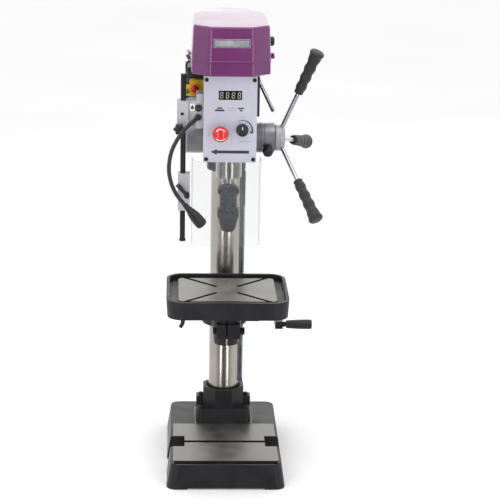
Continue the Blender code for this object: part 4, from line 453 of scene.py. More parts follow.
# Brushed foil on the blank badge.
BADGE_FOIL = finish(
    "brushed_badge_foil", ("b9b9bc", "d0d0d2"), (0.28, 0.40), 0.8, patch=12, grain=0.4, depth=0.004,
    pull=ALONG_X,
)
LAMP_LENS = finish("frosted_lamp_lens", ("d8d8d4", "e4e4e0"), (0.20, 0.30), patch=8, grain=1.0, depth=0.01)


# Bent clear polycarbonate: nearly unseen face on, with a wiped haze.
CLEAR_SHEET = finish(
    "clear_bent_polycarbonate", ("8f9295", "a4a7aa"), (0.06, 0.14), patch=60, grain=2.0, depth=0.002,
    IOR=1.58, Alpha=0.09,
)
# Its sawn and flame-polished edges are drawn more opaque and grey. This is painted refraction and reflection: it
# stands in for the pale and dark lines that light makes along a clear sheet's edges.
CLEAR_EDGE_PAINTED_REFRACTION = finish(
    "polycarbonate_edge_painted_refraction_lines", ("8d9296", "a5aaae"), (0.10, 0.20), patch=20, grain=2.0, depth=0.004,
    IOR=1.58, Alpha=0.45,
)


# ---- Belt cover ----


def cover_line(inset):
    """The cover seen from above: chamfered front, straight sides, half-round back, all with eased corners.

    The front corners are eased by quadratic curves; the back is a quarter circle each side. An inset scales
    the line towards its middle, so that it can shrink to nothing.
    """
    low, high = box("belt_tray")
    half, front, back = -low[0] - HINGE_REACH, low[1], high[1]
    round_back = 52.0
    arc = np.radians(np.arange(0, 90, 5))
    bend = np.column_stack([round_back * np.cos(arc), back - round_back + round_back * np.sin(arc)])
    corners = np.array([(COVER_FRONT_HALF, front), (half, front + COVER_CHAMFER)])
    right = np.vstack([corners, [(half - 1.0, -60.0)], bend])
    whole = np.vstack([right, [(0, back)], right[::-1] * (-1, 1)])
    eased = round_corners(whole, 7.0)
    centre = (front + back) / 2
    reach = np.array([half, (back - front) / 2])
    return (eased - (0, centre)) * (1 - inset / reach) + (0, centre)


def tray_round_edges(points):
    """True for edge middles on the tray's lower outer edge, and on its upright front corners."""
    low, high = box("belt_tray")
    half = -low[0] - HINGE_REACH
    outer = (abs(points[:, 0]) > 40) | (points[:, 1] < low[1] + 14) | (points[:, 1] > high[1] - 20)
    corners = np.array([(COVER_FRONT_HALF, low[1]), (half, low[1] + COVER_CHAMFER)])
    folded = np.column_stack([abs(points[:, 0]), points[:, 1]])
    gaps = np.linalg.norm(folded[:, None] - corners[None], axis=2)
    upright = (gaps.min(1) < 2) & (abs(points[:, 2] - (low[2] + 15)) < 8)
    return (points[:, 2] < low[2] + 0.5) & outer | upright


def make_cover():
    """A pressed lid: its wall runs up from a rolled lip, turns over a round edge and meets a sloping top.

    Each loop is the cover's line, inset by some millimetres, at the height top - slope * max(y - start, 0).
    Its hinge barrel, latch lug and blank badge come with it, and the tray below keeps its own shape.
    """
    front, top = box("belt_lid")[0][1], box("belt_lid")[1][2]
    draft, round_edge, slope_start, drop = 3.0, 5.0, 28.0, 22.0
    lip_height = 3.2
    tray_low, (_, back, _) = box("belt_tray")
    slope = drop / (back - slope_start)

    def loop(inset, below, base=None):
        """One loop of the lid, a distance below its sloping top or at a level height."""
        line = cover_line(inset)
        height = top - np.maximum(line[:, 1] - slope_start, 0) * slope - below
        return np.column_stack([line, height if base is None else np.full(len(line), base)])

    turn = np.radians(np.arange(0, 91, 15))
    rise = np.linspace(0, 1, 6)[1:-1]
    nearly_shut = 86.9  # an inset that leaves the loop a point at the cover's middle
    loops = [loop(nearly_shut, COVER_WALL)]
    loops += [loop(COVER_WALL + draft + inset, COVER_WALL) for inset in (75.0, 40.0, 12.0, 2.0)]
    lip = [(COVER_WALL, 0.0), (-1.3, 0.0), (-1.6, 0.8), (-1.3, 2.2), (0.0, lip_height)]
    loops += [loop(inset, 0, SEAM + up) for inset, up in lip]
    foot = SEAM + lip_height
    for share in rise:
        line = loop(draft * share, 0)
        line[:, 2] = foot + (line[:, 2] - round_edge - foot) * share
        loops.append(line)
    loops += [
        loop(draft + round_edge * (1 - math.cos(a)), round_edge * (1 - math.sin(a))) for a in turn
    ]
    loops += [loop(draft + inset, 0) for inset in (16.0, 34.0, 60.0, 78.0)] + [loop(nearly_shut, 0)]
    put("lid_pressing", skin(loops), PURPLE_ENAMEL, "lid", ("belt_lid",), sharp=28)
    refined("belt_tray", PURPLE_ENAMEL, 5.0, steps=5, heavy=tray_round_edges)

    near, far = -214.0 + 14.6, -214.0 + 78.0 - 14.6
    profile = [(0, near), (3.4, near), (4.0, near + 0.6), (4.0, far - 0.6), (3.4, far), (0, far)]
    barrel = turned(profile, (tray_low[0] + HINGE_IN, 0, SEAM), (0, 1, 0), PLAIN)
    put("lid_hinge_barrel", barrel, PURPLE_ENAMEL, "lid")
    lug = slab((84.0, -192.0, SEAM + 0.2), (98.4, -168.0, SEAM + 4.8))
    put("lid_latch_lug", lug, PURPLE_ENAMEL, "lid", edge=1.2)

    badge_z, badge_half = (SEAM + 32.5, SEAM + 51.5), 40.0
    lean = draft / (top - SEAM)
    face = front + lean * (badge_z[0] - SEAM) + 0.1
    square = np.array([(-1, -1), (1, -1), (1, 1), (-1, 1)])
    centre = (0, sum(badge_z) / 2)
    plate = round_corners(square * (badge_half, (badge_z[1] - badge_z[0]) / 2) + centre, 2.0)
    put("blank_badge", drawn(plate, face - 0.6, face + 2.0), BADGE_FOIL, "lid", edge=0.2)
    inner = round_corners(square * (badge_half - 2.6, 6.9) + centre, 1.5)
    border = round_corners(square * (badge_half - 1.4, 8.1) + centre, 2.0)
    ahead, behind = face - 0.7, face - 0.3
    section = ((border, ahead), (inner, ahead), (inner, behind), (border, behind))
    rows = [np.column_stack([line[:, 0], np.full(len(line), y), line[:, 1]]) for line, y in section]
    put("badge_border", skin(rows, wrap=True), BLACK_PRINT, "lid")


# ---- Body in the order it is stacked ----


def make_stand():
    """Base, flange, column, rack, arm, table and head. Castings keep their shape; the tube is turned anew.

    The tube is a profile of its bore and its outside with two broken edges, spun about the column's axis.
    """
    pad_top = box("base_casting")[1][2]
    refined(
        "base_casting", (CAST_ENAMEL, MILLED_IRON), CAST,
        lambda centre, normal: (normal[:, 2] > 0.99) & (centre[:, 2] > pad_top - 0.3),
        steps=3,
    )
    refined("column_flange", CAST_ENAMEL, CAST, steps=3)
    (_, _, low), (radius, _, top) = box("column_tube")
    bore = radius - 6.5
    tube = [
        (bore, low), (radius - BROKEN, low), (radius, low + BROKEN), (radius, top - BROKEN),
        (radius - BROKEN, top), (bore, top),
    ]
    put(
        "column_ground_tube", turned(tube, (0, 0, 0), (0, 0, 1), FINE), GROUND_TUBE, "stand",
        ("column_tube",),
    )
    refined("column_rack", OILED_STEEL, 0.35, steps=1)
    refined("rack_ring", CAST_ENAMEL, 1.0)
    refined("table_arm", CAST_ENAMEL, CAST, steps=3)
    face = next(m["pos_m"][2] for m in frame["record"]["mounts"] if m["name"] == "table_face") / MM
    refined(
        "table_top", (CAST_ENAMEL, MILLED_IRON), 1.2,
        lambda centre, normal: (normal[:, 2] > 0.99) & (abs(centre[:, 2] - face) < 0.3),
        steps=3,
    )
    refined("head_casting", CAST_ENAMEL, CAST, steps=3)


def make_rest():
    """Every other node keeps its shape, with its own finish and its edges broken."""
    looks = {
        "table_clamp_bolt": (BLACK_OXIDE, 0.6), "arm_lock_lever": (MOULDED_NYLON, 1.2),
        "table_pinion": (OILED_STEEL, 0.3), "worm_shaft": (PLATED_STEEL, 0.5),
        "crank_arm": (BLACK_OXIDE, 1.6), "control_panel": (PANEL_COAT, 1.0), "side_box": (BOX_ENAMEL, 1.2),
        "drive_box": (MOTOR_PAINT, 0.8), "switch_station": (YELLOW_ABS, 1.4),
        "guard_bracket": (BOX_ENAMEL, 1.2), "drive_belt": (BELT_RUBBER, 0.8),
        "return_spring": (PLATED_STEEL, 0.0), "quill": (GROUND_STEEL, 0.5), "spindle": (GROUND_STEEL, 0.5),
        "chuck_jaw_1": (PLATED_STEEL, 0.5), "chuck_jaw_2": (PLATED_STEEL, 0.5),
        "chuck_jaw_3": (PLATED_STEEL, 0.5), "spindle_pulley": (PULLEY_ALLOY, 0.6),
        "motor_pulley": (PULLEY_ALLOY, 0.6), "motor_mount": (BLACK_OXIDE, 1.0),
        "tension_lever": (PLATED_STEEL, 1.2), "feed_shaft": (PLATED_STEEL, 0.3),
        "feed_hub": (TUMBLED_ALLOY, 0.8), "depth_ring": (TURNED_ALLOY, 0.8),
        "spring_cup": (TUMBLED_ALLOY, 1.2), "guard_slider": (BOX_ENAMEL, 1.2),
        "guard_clamp_lever": (MOULDED_NYLON, 1.0),
    }
    for node, (look, edge) in looks.items():
        refined(node, look, edge)
    back = box("guard_screen")[1][1]

    def painted_edge_lines(centre, normal):
        """True for the guard's top and bottom edges, and for the back edges of its two wings: the faces that take
        the painted refraction lines.
        """
        return (abs(normal[:, 2]) > 0.9) | (normal[:, 1] > 0.9) & (centre[:, 1] > back - 20)

    # the edge faces take a more opaque grey that paints the lines light makes along a clear sheet's edges
    refined("guard_screen", (CLEAR_SHEET, CLEAR_EDGE_PAINTED_REFRACTION), 0.3, painted_edge_lines)


# ---- Turned and moulded pieces that stand for a node ----


def joint(name):
    """A joint by its name, with its place in metres and its axis."""
    return next(j for j in frame["joints"] if j["name"] == name)


def spine(node, start_near):
    """A long node's two ends: the line that its corners are spread along most, from the end near a point."""
    mesh = frame["nodes"][node].data
    corners = np.empty(len(mesh.vertices) * 3)
    mesh.vertices.foreach_get("co", corners)
    corners = np.unique(np.round(corners.reshape(-1, 3) / MM, 3), axis=0)
    centre = corners.mean(0)
    way = np.linalg.svd(corners - centre, full_matrices=False)[2][0]
    along = (corners - centre) @ way
    ends = centre + way * along.min(), centre + way * along.max()
    if np.linalg.norm(ends[1] - start_near) < np.linalg.norm(ends[0] - start_near):
        ends = ends[::-1]
    return ends[0], ends[1] - ends[0]


def make_controls():
    """The panel's controls, display, screws and printed marks."""
    front = box("control_panel")[0][1]
    make_stop(front)
    make_dial(front)
    make_buttons()
    make_display(front)

    (_, _, low), (half, _, high) = box("control_panel")
    rows = ((high - 8.1, half - 6.3), (low + 7.0, half - 6.8))
    places = [(side * x, z) for side in (-1, 1) for z, x in rows]
    screws = [socket_screw((x, front, z), OUT, 4.3, 2.6, 2.1) for x, z in places]
    put("panel_screws", together(screws), BLACK_OXIDE, "stand", sharp=40)
    put("panel_marks_black", together(panel_marks(front)), BLACK_PRINT, "stand")
    put("panel_marks_grey", together(panel_small_marks(front)), GREY_PRINT, "stand")


def make_stop(front):
    """A mushroom on a stem, with two arcs on its crown.

    With t from 0 to 1, the crown's radius is 17.9 * sin(1.35 t) / sin(1.35) and its height is
    22.5 + 9.3 * cos(t * pi / 2).
    """
    crown_r, crown_turn, crown_foot, crown_rise, arc_r = 17.9, 1.35, 22.5, 9.3, 12.4
    stop = middle("emergency_stop")
    base = (stop[0], front, stop[2])
    crown = np.linspace(0, 1, 9)
    dome = np.column_stack([
        crown_r * np.sin(crown * crown_turn) / np.sin(crown_turn),
        crown_foot + crown_rise * np.cos(crown * math.pi / 2),
    ])
    skirt = [(crown_r, 21.0), (17.2, 17.0), (13.0, 13.2), (8.0, 12.0), (8.0, -8.0), (0, -8.0)]
    put("stop_mushroom", turned(np.vstack([dome, skirt]), base, OUT, FINE), RED_GLOSS, "estop",
        ("emergency_stop",), sharp=50)
    turn = np.radians(np.linspace(35, 145, 24))
    share = math.asin(arc_r / crown_r * math.sin(crown_turn)) / crown_turn
    height = front - crown_foot - crown_rise * math.cos(share * math.pi / 2)
    arc = np.vstack([
        np.column_stack([np.cos(turn), np.sin(turn)]) * (arc_r + 0.8),
        np.column_stack([np.cos(turn), np.sin(turn)])[::-1] * (arc_r - 0.8),
    ])
    marks = [drawn(arc * (1, side) + (base[0], base[2]), height - 0.35, height + 1.2) for side in (1, -1)]
    put("stop_release_arrows", together(marks), WHITE_PRINT, "estop")


def make_dial(front):
    """A dial with eighteen shallow flutes, where its radius is 1 - 0.05 * max(cos 18a, 0), and a pointer."""
    knob = middle("speed_knob")
    base = (knob[0], front, knob[2])
    body = [(0, 19), (9.8, 19), (11.4, 18.2), (12.6, 16.4), (13.1, 14), (13.4, 6), (13.8, 3.4), (13.8, 1.6),
            (13.2, 1.2), (3, 1.2), (3, -9), (0, -9)]
    flutes = turned(
        body, base, OUT, 144,
        lambda a, h: 1 - 0.05 * np.clip(np.cos(18 * a), 0, 1) * (h > 4) * (h < 17.5),
    )
    put("speed_dial", flutes, MOULDED_NYLON, "dial", ("speed_knob",), sharp=40)
    pointer = slab((base[0] - 0.7, front - 19.25, base[2] + 3), (base[0] + 0.7, front - 18.4, base[2] + 9.6))
    put("dial_pointer", pointer, WHITE_PRINT, "dial")


def make_buttons():
    """Three push buttons, each a turned cap: its body, its finish, the level it stands on, its profile."""
    small = {
        "coolant_button": (
            "coolant", MOULDED_NYLON, box("side_box")[0][1],
            [
                (0, 5.0), (5.0, 5.2), (6.4, 6.0), (7.3, 5.6), (7.9, 4.4), (7.9, 2.6), (5, 2.6), (5, -6),
                (0, -6),
            ],
        ),
        "stop_button": (
            "off_button", RED_GLOSS, box("stop_button")[0][1] + 12,
            [(0, 12), (4, 11.8), (7, 11), (8.8, 9.4), (9.2, 8), (8.5, 3.4), (5, 3), (5, -6), (0, -6)],
        ),
        "start_button": (
            "on_button", GREEN_GLOSS, box("start_button")[0][1] + 5,
            [(0, 5), (3.6, 4.8), (4.8, 4.1), (5.2, 3), (3, 2.4), (3, -5), (0, -5)],
        ),
    }
    for node, (body_name, look, level, profile) in small.items():
        x, _, z = middle(node)
        put(node + "_cap", turned(profile, (x, level, z), OUT), look, body_name, (node,), sharp=50)


def make_display(front):
    """A smoked window in the panel with its segments just behind the glass's face."""
    window_z = (box("control_panel")[1][2] - 52.5, box("control_panel")[1][2] - 32.1)
    glass = round_corners(
        [(-26, window_z[0]), (25.6, window_z[0]), (25.6, window_z[1]), (-26, window_z[1])], 1.2,
    )
    put("display_window", drawn(glass, front - 0.3, front + 0.9), SMOKED_WINDOW, "stand", edge=0.2)
    put("display_digits", together(digits(front, window_z)), SEGMENT_RESIN, "stand")


def socket_screw(origin, axis, radius, height, socket):
    """A cap screw: a rounded head with a round socket let into it, nearly to its foot."""
    head = [(0, 0.6), (socket, 0.6), (socket, height), (radius - 0.9, height), (radius - 0.2, height - 0.3),
            (radius, height - 1.0), (radius, -0.2), (0, -0.2)]
    return turned(head, origin, axis, 36)


def digits(front, rows):
    """Four seven-segment eights, each segment a bar with pointed ends, leaning a little to the right."""
    long, thick, wide, tall = 5.2, 1.5, 7.2, 13.0
    bar = np.array([(-long / 2, 0), (-long / 2 + thick / 2, thick / 2), (long / 2 - thick / 2, thick / 2),
                    (long / 2, 0), (long / 2 - thick / 2, -thick / 2), (-long / 2 + thick / 2, -thick / 2)])
    upright = bar[:, ::-1] * (1, -1)
    step_x, step_z = wide / 2 - thick / 2, tall / 4 + 0.1
    spots = [(bar, 0, 0), (bar, 0, 2 * step_z - 0.4), (bar, 0, -2 * step_z + 0.4)]
    spots += [(upright, sx * step_x, sz * step_z) for sx in (-1, 1) for sz in (-1, 1)]
    middle_z = sum(rows) / 2
    shapes = []
    first, pitch, lean = -19.6, 13.0, 0.06
    for column in range(4):
        centre = first + pitch * column
        for outline, x, z in spots:
            stretch = (1, 1.12) if outline is upright else (1, 1)
            line = outline * stretch + (x, z)
            line = line + np.column_stack([line[:, 1] * lean, 0 * line[:, 1]])
            shapes.append(drawn(line + (centre, middle_z), front - 0.42, front - 0.2))
    return shapes


def panel_marks(front):
    """The arc arrow round the dial, the rotation arrow and the bold marks under the display."""
    knob = middle("speed_knob")
    turn = np.radians(np.linspace(118, -8, 40))
    inner, outer = 20.6, 20.6 + np.linspace(0.8, 3.6, 40)
    arc = np.vstack([
        np.column_stack([outer * np.cos(turn), outer * np.sin(turn)]),
        np.column_stack([inner * np.cos(turn), inner * np.sin(turn)])[::-1],
    ]) + (knob[0], knob[2])
    tip = np.array([(17.2, -3.5), (26.0, -3.2), (21.2, -10.0)]) + (knob[0], knob[2])
    z = box("control_panel")[0][2] + 23.6
    arrow = [
        (-43, z), (-29, z + 6.6), (-29, z + 3.3), (43, z + 3.3), (43, z - 3.3), (-29, z - 3.3),
        (-29, z - 6.6),
    ]
    z = box("control_panel")[1][2] - 73
    bold = [
        [(-35, z - 5), (-12, z - 5), (-14, z - 1.2), (-33, z - 1.2)],
        [(-30, z + 0.4), (-17, z + 0.4), (-19, z + 3.6), (-28, z + 3.6)],
        [(17, z + 0.4), (31, z + 0.4), (31, z + 3.2), (17, z + 3.2)],
        [(21, z - 4.6), (27, z - 4.6), (27, z - 1.2), (21, z - 1.2)],
    ]
    return [drawn(line, front - SKIN, front + 0.3) for line in (arc, tip, arrow, *bold)]


def panel_small_marks(front):
    """Fine marks: dashes under the display and by the dial, and a pair of short scales."""
    top, x = box("control_panel")[1][2] - 73, middle("speed_knob")[0]
    rows = [(-6 + 3.4 * i, top + 1.4, 2.4, 1.2) for i in range(6)]
    rows += [(-6 + 3.4 * i, top - 3.6, 2.4, 1.2) for i in range(6)]
    rows += [(x - 5 + 3.2 * i, top - 18.6, 1.6, 1.4) for i in range(4)]
    rows += [(x - 8 + 3.0 * i, top - 73.6, 2.1, 1.5) for i in range(10)]
    rows += [(3.0, top - 80 + 3.0 * i, 1.2, 1.8) for i in range(4)]
    return [
        drawn([(a, b), (a + w, b), (a + w, b + h), (a, b + h)], front - SKIN, front + 0.3)
        for a, b, w, h in rows
    ]


def make_grips():
    """Plated spokes with soft grips: a sleeve with four finger swells that widens to a flat-ended bell."""
    hub = middle("feed_hub")
    for number in (1, 2, 3):
        start, along = spine(f"feed_rod_{number}", hub)
        length = np.linalg.norm(along)
        rod = [(0, 0), (4.4, 0), (5.0, 0.6), (5.0, length - 0.6), (4.4, length), (0, length)]
        put(
            f"spoke_{number}", turned(rod, start, along, PLAIN), PLATED_STEEL, "feed",
            (f"feed_rod_{number}",),
        )
        start, along = spine(f"feed_grip_{number}", hub)
        length = np.linalg.norm(along)
        share = np.linspace(0, 1, 49)
        radius = 11.2 + 2.3 * share**1.3 - 1.0 * np.cos(share * 8 * math.pi)
        radius += 3.2 * np.clip((share - 0.86) / 0.14, 0, 1) ** 1.5
        swell = np.column_stack([radius, 5 + share * (length - 14)])
        profile = np.vstack([
            [(0, 0.4), (5.3, 0.4), (9.2, 0), (10.4, 0.8), (10.9, 2.2)], swell,
            [
                (16.9, length - 7), (16.6, length - 4.2), (15.2, length - 1.8), (12.8, length - 0.8),
                (0, length),
            ],
        ])
        put(f"spoke_grip_{number}", turned(profile, start, along, FINE), GRIP_RUBBER, "feed",
            (f"feed_grip_{number}",), sharp=60)


def make_feed_marks():
    """Forty marks round the depth ring, every fifth one long, the groove behind them, and the lock knob."""
    axis = np.array(joint("feed_turn")["pos_m"]) / MM
    start = box("depth_ring")[0][0]
    radius = 34.0
    count, marks = 40, []
    for step in range(count):
        turn = 2 * math.pi * step / count
        long = 7.0 if step % 5 == 0 else 4.0
        way = np.array([0, math.cos(turn), math.sin(turn)])
        side = np.array([0, -math.sin(turn), math.cos(turn)])
        section = [way * r + side * w for r, w in ((33.6, -0.5), (33.6, 0.5), (34.1, 0.5), (34.1, -0.5))]
        corner = [
            axis * (0, 1, 1) + spot + (x, 0, 0)
            for x in (start + 8.0, start + 8.0 + long)
            for spot in section
        ]
        marks.append(skin([corner[:4], corner[4:]]))
    put("depth_scale_marks", together(marks), BLACK_PRINT, "stop_ring", sharp=30)
    near, far = start + 18.4, start + 19.0
    groove = [(radius - 0.4, near), (radius + 0.12, near), (radius + 0.12, far), (radius - 0.4, far)]
    put("depth_scale_seam", turned(groove, axis * (0, 1, 1), (1, 0, 0), FINE), BLACK_OXIDE, "stop_ring")

    knob = joint("stop_lock_turn")
    lobes = [
        (0, 22), (8, 21.8), (10.4, 20.6), (11.6, 18), (11.9, 12), (11.6, 8), (10, 5.5), (6, 1.2), (3, 1),
        (3, -12), (0, -12),
    ]
    grip = turned(lobes, np.array(knob["pos_m"]) / MM, knob["axis"], FINE, lobed(8, 0.03, low=5))
    put("depth_lock_grip", grip, MOULDED_NYLON, "stop_lock", ("depth_lock_knob",), sharp=50)


def make_chuck():
    """A keyless chuck: fine straight knurls on its ring and sleeve, a smooth waist between, and its nose.

    The nose is the lower part of the node itself, with the slanting ways that the three jaws slide in.
    """
    x, y, _ = middle("chuck_body")
    top = box("chuck_body")[1][2]
    sleeve_low, sleeve_high = box("chuck_sleeve")[0][2], box("chuck_sleeve")[1][2]
    knurl = lobed(60, 0.018, top - 9.2 - 5.5, top - 9.2 + 5.5, start=math.pi)
    ring = [(0, top - 29), (7.6, top - 29), (7.6, top), (22.4, top), (24.3, top - 1.2), (24.6, top - 3.0)]
    ring += [(24.6, top - 3.6 - 0.9 * i) for i in range(13)]
    ring += [
        (24.6, top - 15.6), (23.6, top - 18.0), (21.0, top - 18.6), (21.0, top - 19.6),
        (20.6, sleeve_high + 0.4), (19.2, sleeve_high + 0.3), (19.2, sleeve_high - 2.5),
        (0, sleeve_high - 2.5),
    ]
    put(
        "chuck_core", turned(ring, (x, y, 0), (0, 0, 1), 240, knurl), CHUCK_STEEL, "spindle", ("chuck_body",),
        sharp=40,
    )
    sawn_below("chuck_body", sleeve_high - 2.0, "chuck_nose", CHUCK_STEEL, 0.3)
    grip = lobed(60, 0.016, sleeve_low + 32.5, sleeve_high - 3, start=math.pi)
    sleeve = [
        (20.0, sleeve_high), (23.6, sleeve_high), (24.6, sleeve_high - 1.2), (24.6, sleeve_high - 3.0),
        (24.6, sleeve_high - 3.4), (24.6, sleeve_low + 32.6), (24.6, sleeve_low + 31.6),
        (24.0, sleeve_low + 29.4), (22.2, sleeve_low + 22.0), (19.4, sleeve_low + 11.0),
        (16.6, sleeve_low + 2.4), (15.4, sleeve_low + 0.6), (14.2, sleeve_low), (10.2, sleeve_low),
        (10.2, sleeve_low + 8.5), (20.0, sleeve_low + 33.2),
    ]
    put(
        "chuck_grip", turned(sleeve, (x, y, 0), (0, 0, 1), 240, grip), CHUCK_STEEL, "sleeve",
        ("chuck_sleeve",), sharp=40,
    )


def make_lamp():
    """A ribbed gooseneck from the side box, ending in a bell-shaped lamp head with a frosted lens."""
    low, high = box("side_box")
    start = np.array([-70.9, low[1] - 3, high[2] - 52.5])
    offsets = [(0, 0, 0), (-9.7, -12, -5.6), (-21.1, -24, -13.9), (-41.2, -47, -32.7), (-58.5, -72, -62.8),
               (-63.9, -90, -97.5), (-58.0, -100, -128.5), (-45.5, -105, -153.0), (-30.1, -107, -171.5)]
    route = curve_through(start + np.array(offsets), 48)
    along = np.concatenate([[0], np.cumsum(np.linalg.norm(np.diff(route, axis=0), axis=1))])
    even = np.arange(0, along[-1], 0.7)
    route = np.column_stack([np.interp(even, along, route[:, i]) for i in range(3)])
    ribs = 4.55 - 0.28 * np.cos(even * 2 * math.pi / 4.2)
    put("gooseneck", swept(route, ribs, 28), MOULDED_NYLON, "lamp", ("lamp_neck",), sharp=60)
    gland = [(0, 0.3), (7.4, 0.3), (7.5, 2.6), (7.0, 4.6), (6.4, 7.0), (0, 7.0)]
    put(
        "gooseneck_gland", turned(gland, (start[0], low[1], start[2]), (0, -1, 0)), MOULDED_NYLON, "lamp",
        sharp=40,
    )
    head_start, way = spine("lamp_head", route[-1])
    length = np.linalg.norm(way)
    bell = [
        (0, 0), (5.6, 0), (6.2, 1.0), (6.9, 11.0), (7.6, 15.0), (9.2, 21.0), (10.4, 26.0), (12.2, 34.0),
        (12.9, 40.0), (13.3, 48.0), (13.5, 58.5), (13.2, 62.0), (12.4, 63.6), (11.4, 64.0), (10.8, 62.0),
        (0, 61.6),
    ]
    bell = np.array(bell) * (0.97, length / 64.0)
    put("lamp_bell", turned(bell, head_start, way, FINE), MOULDED_NYLON, "lamp", ("lamp_head",), sharp=50)
    lens = [(0, 62.6), (6, 62.5), (10.7, 62.1), (10.7, 61.0), (0, 61.0)]
    put("lamp_lens", turned(lens, head_start, way, PLAIN), LAMP_LENS, "lamp", sharp=50)


def make_cable():
    """The short lead from the cover's side down to the drive box: one smooth line between its two ends."""
    tray_low, drive_front = box("belt_tray")[0], box("drive_box")[0][1]
    start = np.array([tray_low[0] + HINGE_REACH, drive_front, tray_low[2]])
    offsets = [(-1.5, -64.0, 13.0), (-6.5, -64.5, 12.5), (-10.5, -64.0, 6.0), (-10.2, -58.0, -3.0),
               (-5.0, -43.0, -12.0), (2.0, -24.0, -17.5), (7.0, -8.0, -18.5), (8.0, -0.9, -18.5)]
    route = curve_through(start + np.array(offsets), 8)
    lead = put("drive_lead", swept(route, 2.2, 16), GRIP_RUBBER, "stand", ("switch_cable",), sharp=60)


def make_handles():
    """The crank's ribbed handle with its bolt, the six-lobed star knob and the cover's latch knob."""
    crank = joint("crank_handle_spin")
    x, y, z = np.array(crank["pos_m"]) / MM
    start, end = box("crank_grip")[0][0], box("crank_grip")[1][0]
    length, rise = end - start, np.linspace(0, 1, 40)
    barrel = 9.2 + 2.3 * np.sin(rise * math.pi * 0.62) ** 0.8
    barrel += np.where((rise > 0.12) & (rise < 0.9), 0.18 * np.cos(rise * 34 * math.pi), 0)
    hollow = [(4.4, 0.2), (8.2, 0.0), (9.0, 0.5)]
    profile = np.vstack([hollow, np.column_stack([barrel, 1.2 + rise * (length - 4.2)]),
                         [(10.6, length - 1.4), (9.0, length - 0.4), (4.4, length)]])
    put("crank_handle_barrel", turned(profile, (start, y, z), (1, 0, 0), FINE), MOULDED_NYLON,
        "crank_handle", ("crank_grip",), sharp=50)
    bolt = [(0, end - 1.6), (3.4, end - 1.6), (4.0, end - 2.2), (4.0, end - 4.0), (0, end - 4.0)]
    put("crank_handle_bolt", turned(bolt, (0, y, z), (1, 0, 0)), PLATED_STEEL, "crank")

    knob = joint("post_clamp_turn")
    x, y, z = np.array(knob["pos_m"]) / MM
    star = [
        (0, 19.2), (4.6, 19.0), (5.2, 20), (9.8, 20), (12.2, 18.9), (13.1, 17), (13.1, 9.4), (12.2, 7.2),
        (9.6, 6.0), (6, 5.6), (6, 0.3), (2.5, 0.3), (2.5, -11), (0, -11),
    ]
    shape = turned(star, (x, y, z), (0, -1, 0), FINE, lobed(6, 0.12, low=5.8))
    put("star_knob", shape, MOULDED_NYLON, "post_clamp", ("post_knob",), sharp=45)

    latch = joint("latch_turn")
    point = np.array(latch["pos_m"]) / MM
    cap = [
        (0, 13.4), (6.2, 13.0), (9.2, 11.6), (10.6, 9.6), (11.0, 6.4), (10.8, 3.6), (10.0, 1.6), (7, 1.2),
        (3, 1.2), (3, -8), (0, -8),
    ]
    shape = turned(cap, point, (1, 0, 0), FINE, lobed(10, 0.05, 1.5, 9.8))
    put("latch_cap", shape, MOULDED_NYLON, "latch", ("latch_knob",), sharp=50)


def make_motor():
    """A finned motor can: 36 shallow ribs down its barrel, a plain end bell and a slotted fan cowl below."""
    (_, _, low), (_, back, high) = box("motor_body")
    x, y, _ = middle("motor_body")
    can = [
        (9.4, high), (60.0, high), (63.0, high - 1.2), (64.0, high - 4.0), (64.0, high - 24),
        (63.9, high - 25), (63.9, low + 37), (64.0, low + 36), (64.0, low + 34), (62.5, low + 32.6),
        (62.5, low + 12), (60.0, low + 5.0), (54.0, low), (46.0, low), (45.0, low + 1.5), (14.0, low + 1.5),
        (13.0, low), (0, low), (0, low + 38), (9.4, low + 38),
    ]

    def ribs(a, height):
        """The share of the radius left between two fins: 1 - 0.028 * (1 + 3 cos 36a, cut off at -1 and 1)."""
        finned = (height < high - 24.5) * (height > low + 36.5)
        return 1 - 0.028 * (1 + np.clip(3 * np.cos(36 * a), -1, 1)) * finned

    put(
        "motor_can", turned(can, (x, y, 0), (0, 0, 1), 288, ribs), MOTOR_PAINT, "motor", ("motor_body",),
        sharp=40,
    )
    bars = []
    for turn in np.linspace(0, 2 * math.pi, 24, endpoint=False):
        line = [(x + r * math.cos(turn), y + r * math.sin(turn), low + 1.1) for r in (19.0, 30.0, 41.0)]
        bars.append(swept(line, 1.3, 10))
    put("fan_cowl_bars", together(bars), BLACK_OXIDE, "motor")
    plate = slab((x - 22, back - 3.2, low + 96), (x + 22, back - 0.2, low + 124))
    put("blank_rating_plate", plate, BADGE_FOIL, "motor", edge=0.5)


def make_flange_screws():
    """Four screws in the flange's corners and one in each side gusset."""
    flange = box("column_flange")
    foot_top, gusset_top = flange[0][2] + 34.7, flange[0][2] + 53.7
    corners = [(x, y, foot_top) for x in (-55, 55) for y in (-45, 45)]
    screws = [socket_screw(corner, (0, 0, 1), 6.4, 6.5, 3.2) for corner in corners]
    screws += [socket_screw((x, 0, gusset_top), (0, 0, 1), 5.4, 6.0, 2.8) for x in (-55, 55)]
    put("flange_screws", together(screws), BLACK_OXIDE, "stand", sharp=40)


def make_hinge_pin():
    """The bright pin through the lid's hinge."""
    tray_low, _ = box("belt_tray")
    pin = [(0, -216.0), (1.6, -216.0), (1.6, -135.0), (0, -135.0)]
    put("lid_hinge_pin", turned(pin, (tray_low[0] + HINGE_IN, 0, SEAM), (0, 1, 0), 24), PLATED_STEEL, "stand")


def make_guard_post():
    """The guard's round post, with a collar at its foot."""
    post = box("guard_post")
    x, y, _ = middle("guard_post")
    low, high = post[0][2], post[1][2]
    shaft = [
        (0, low), (6.6, low), (7.6, low + 1), (7.6, low + 4), (6.8, low + 5), (6, low + 5.2), (6, high - 0.8),
        (5.2, high), (0, high),
    ]
    put(
        "guard_post_rod", turned(shaft, (x, y, 0), (0, 0, 1), PLAIN), BLACK_OXIDE, "post", ("guard_post",),
        sharp=40,
    )


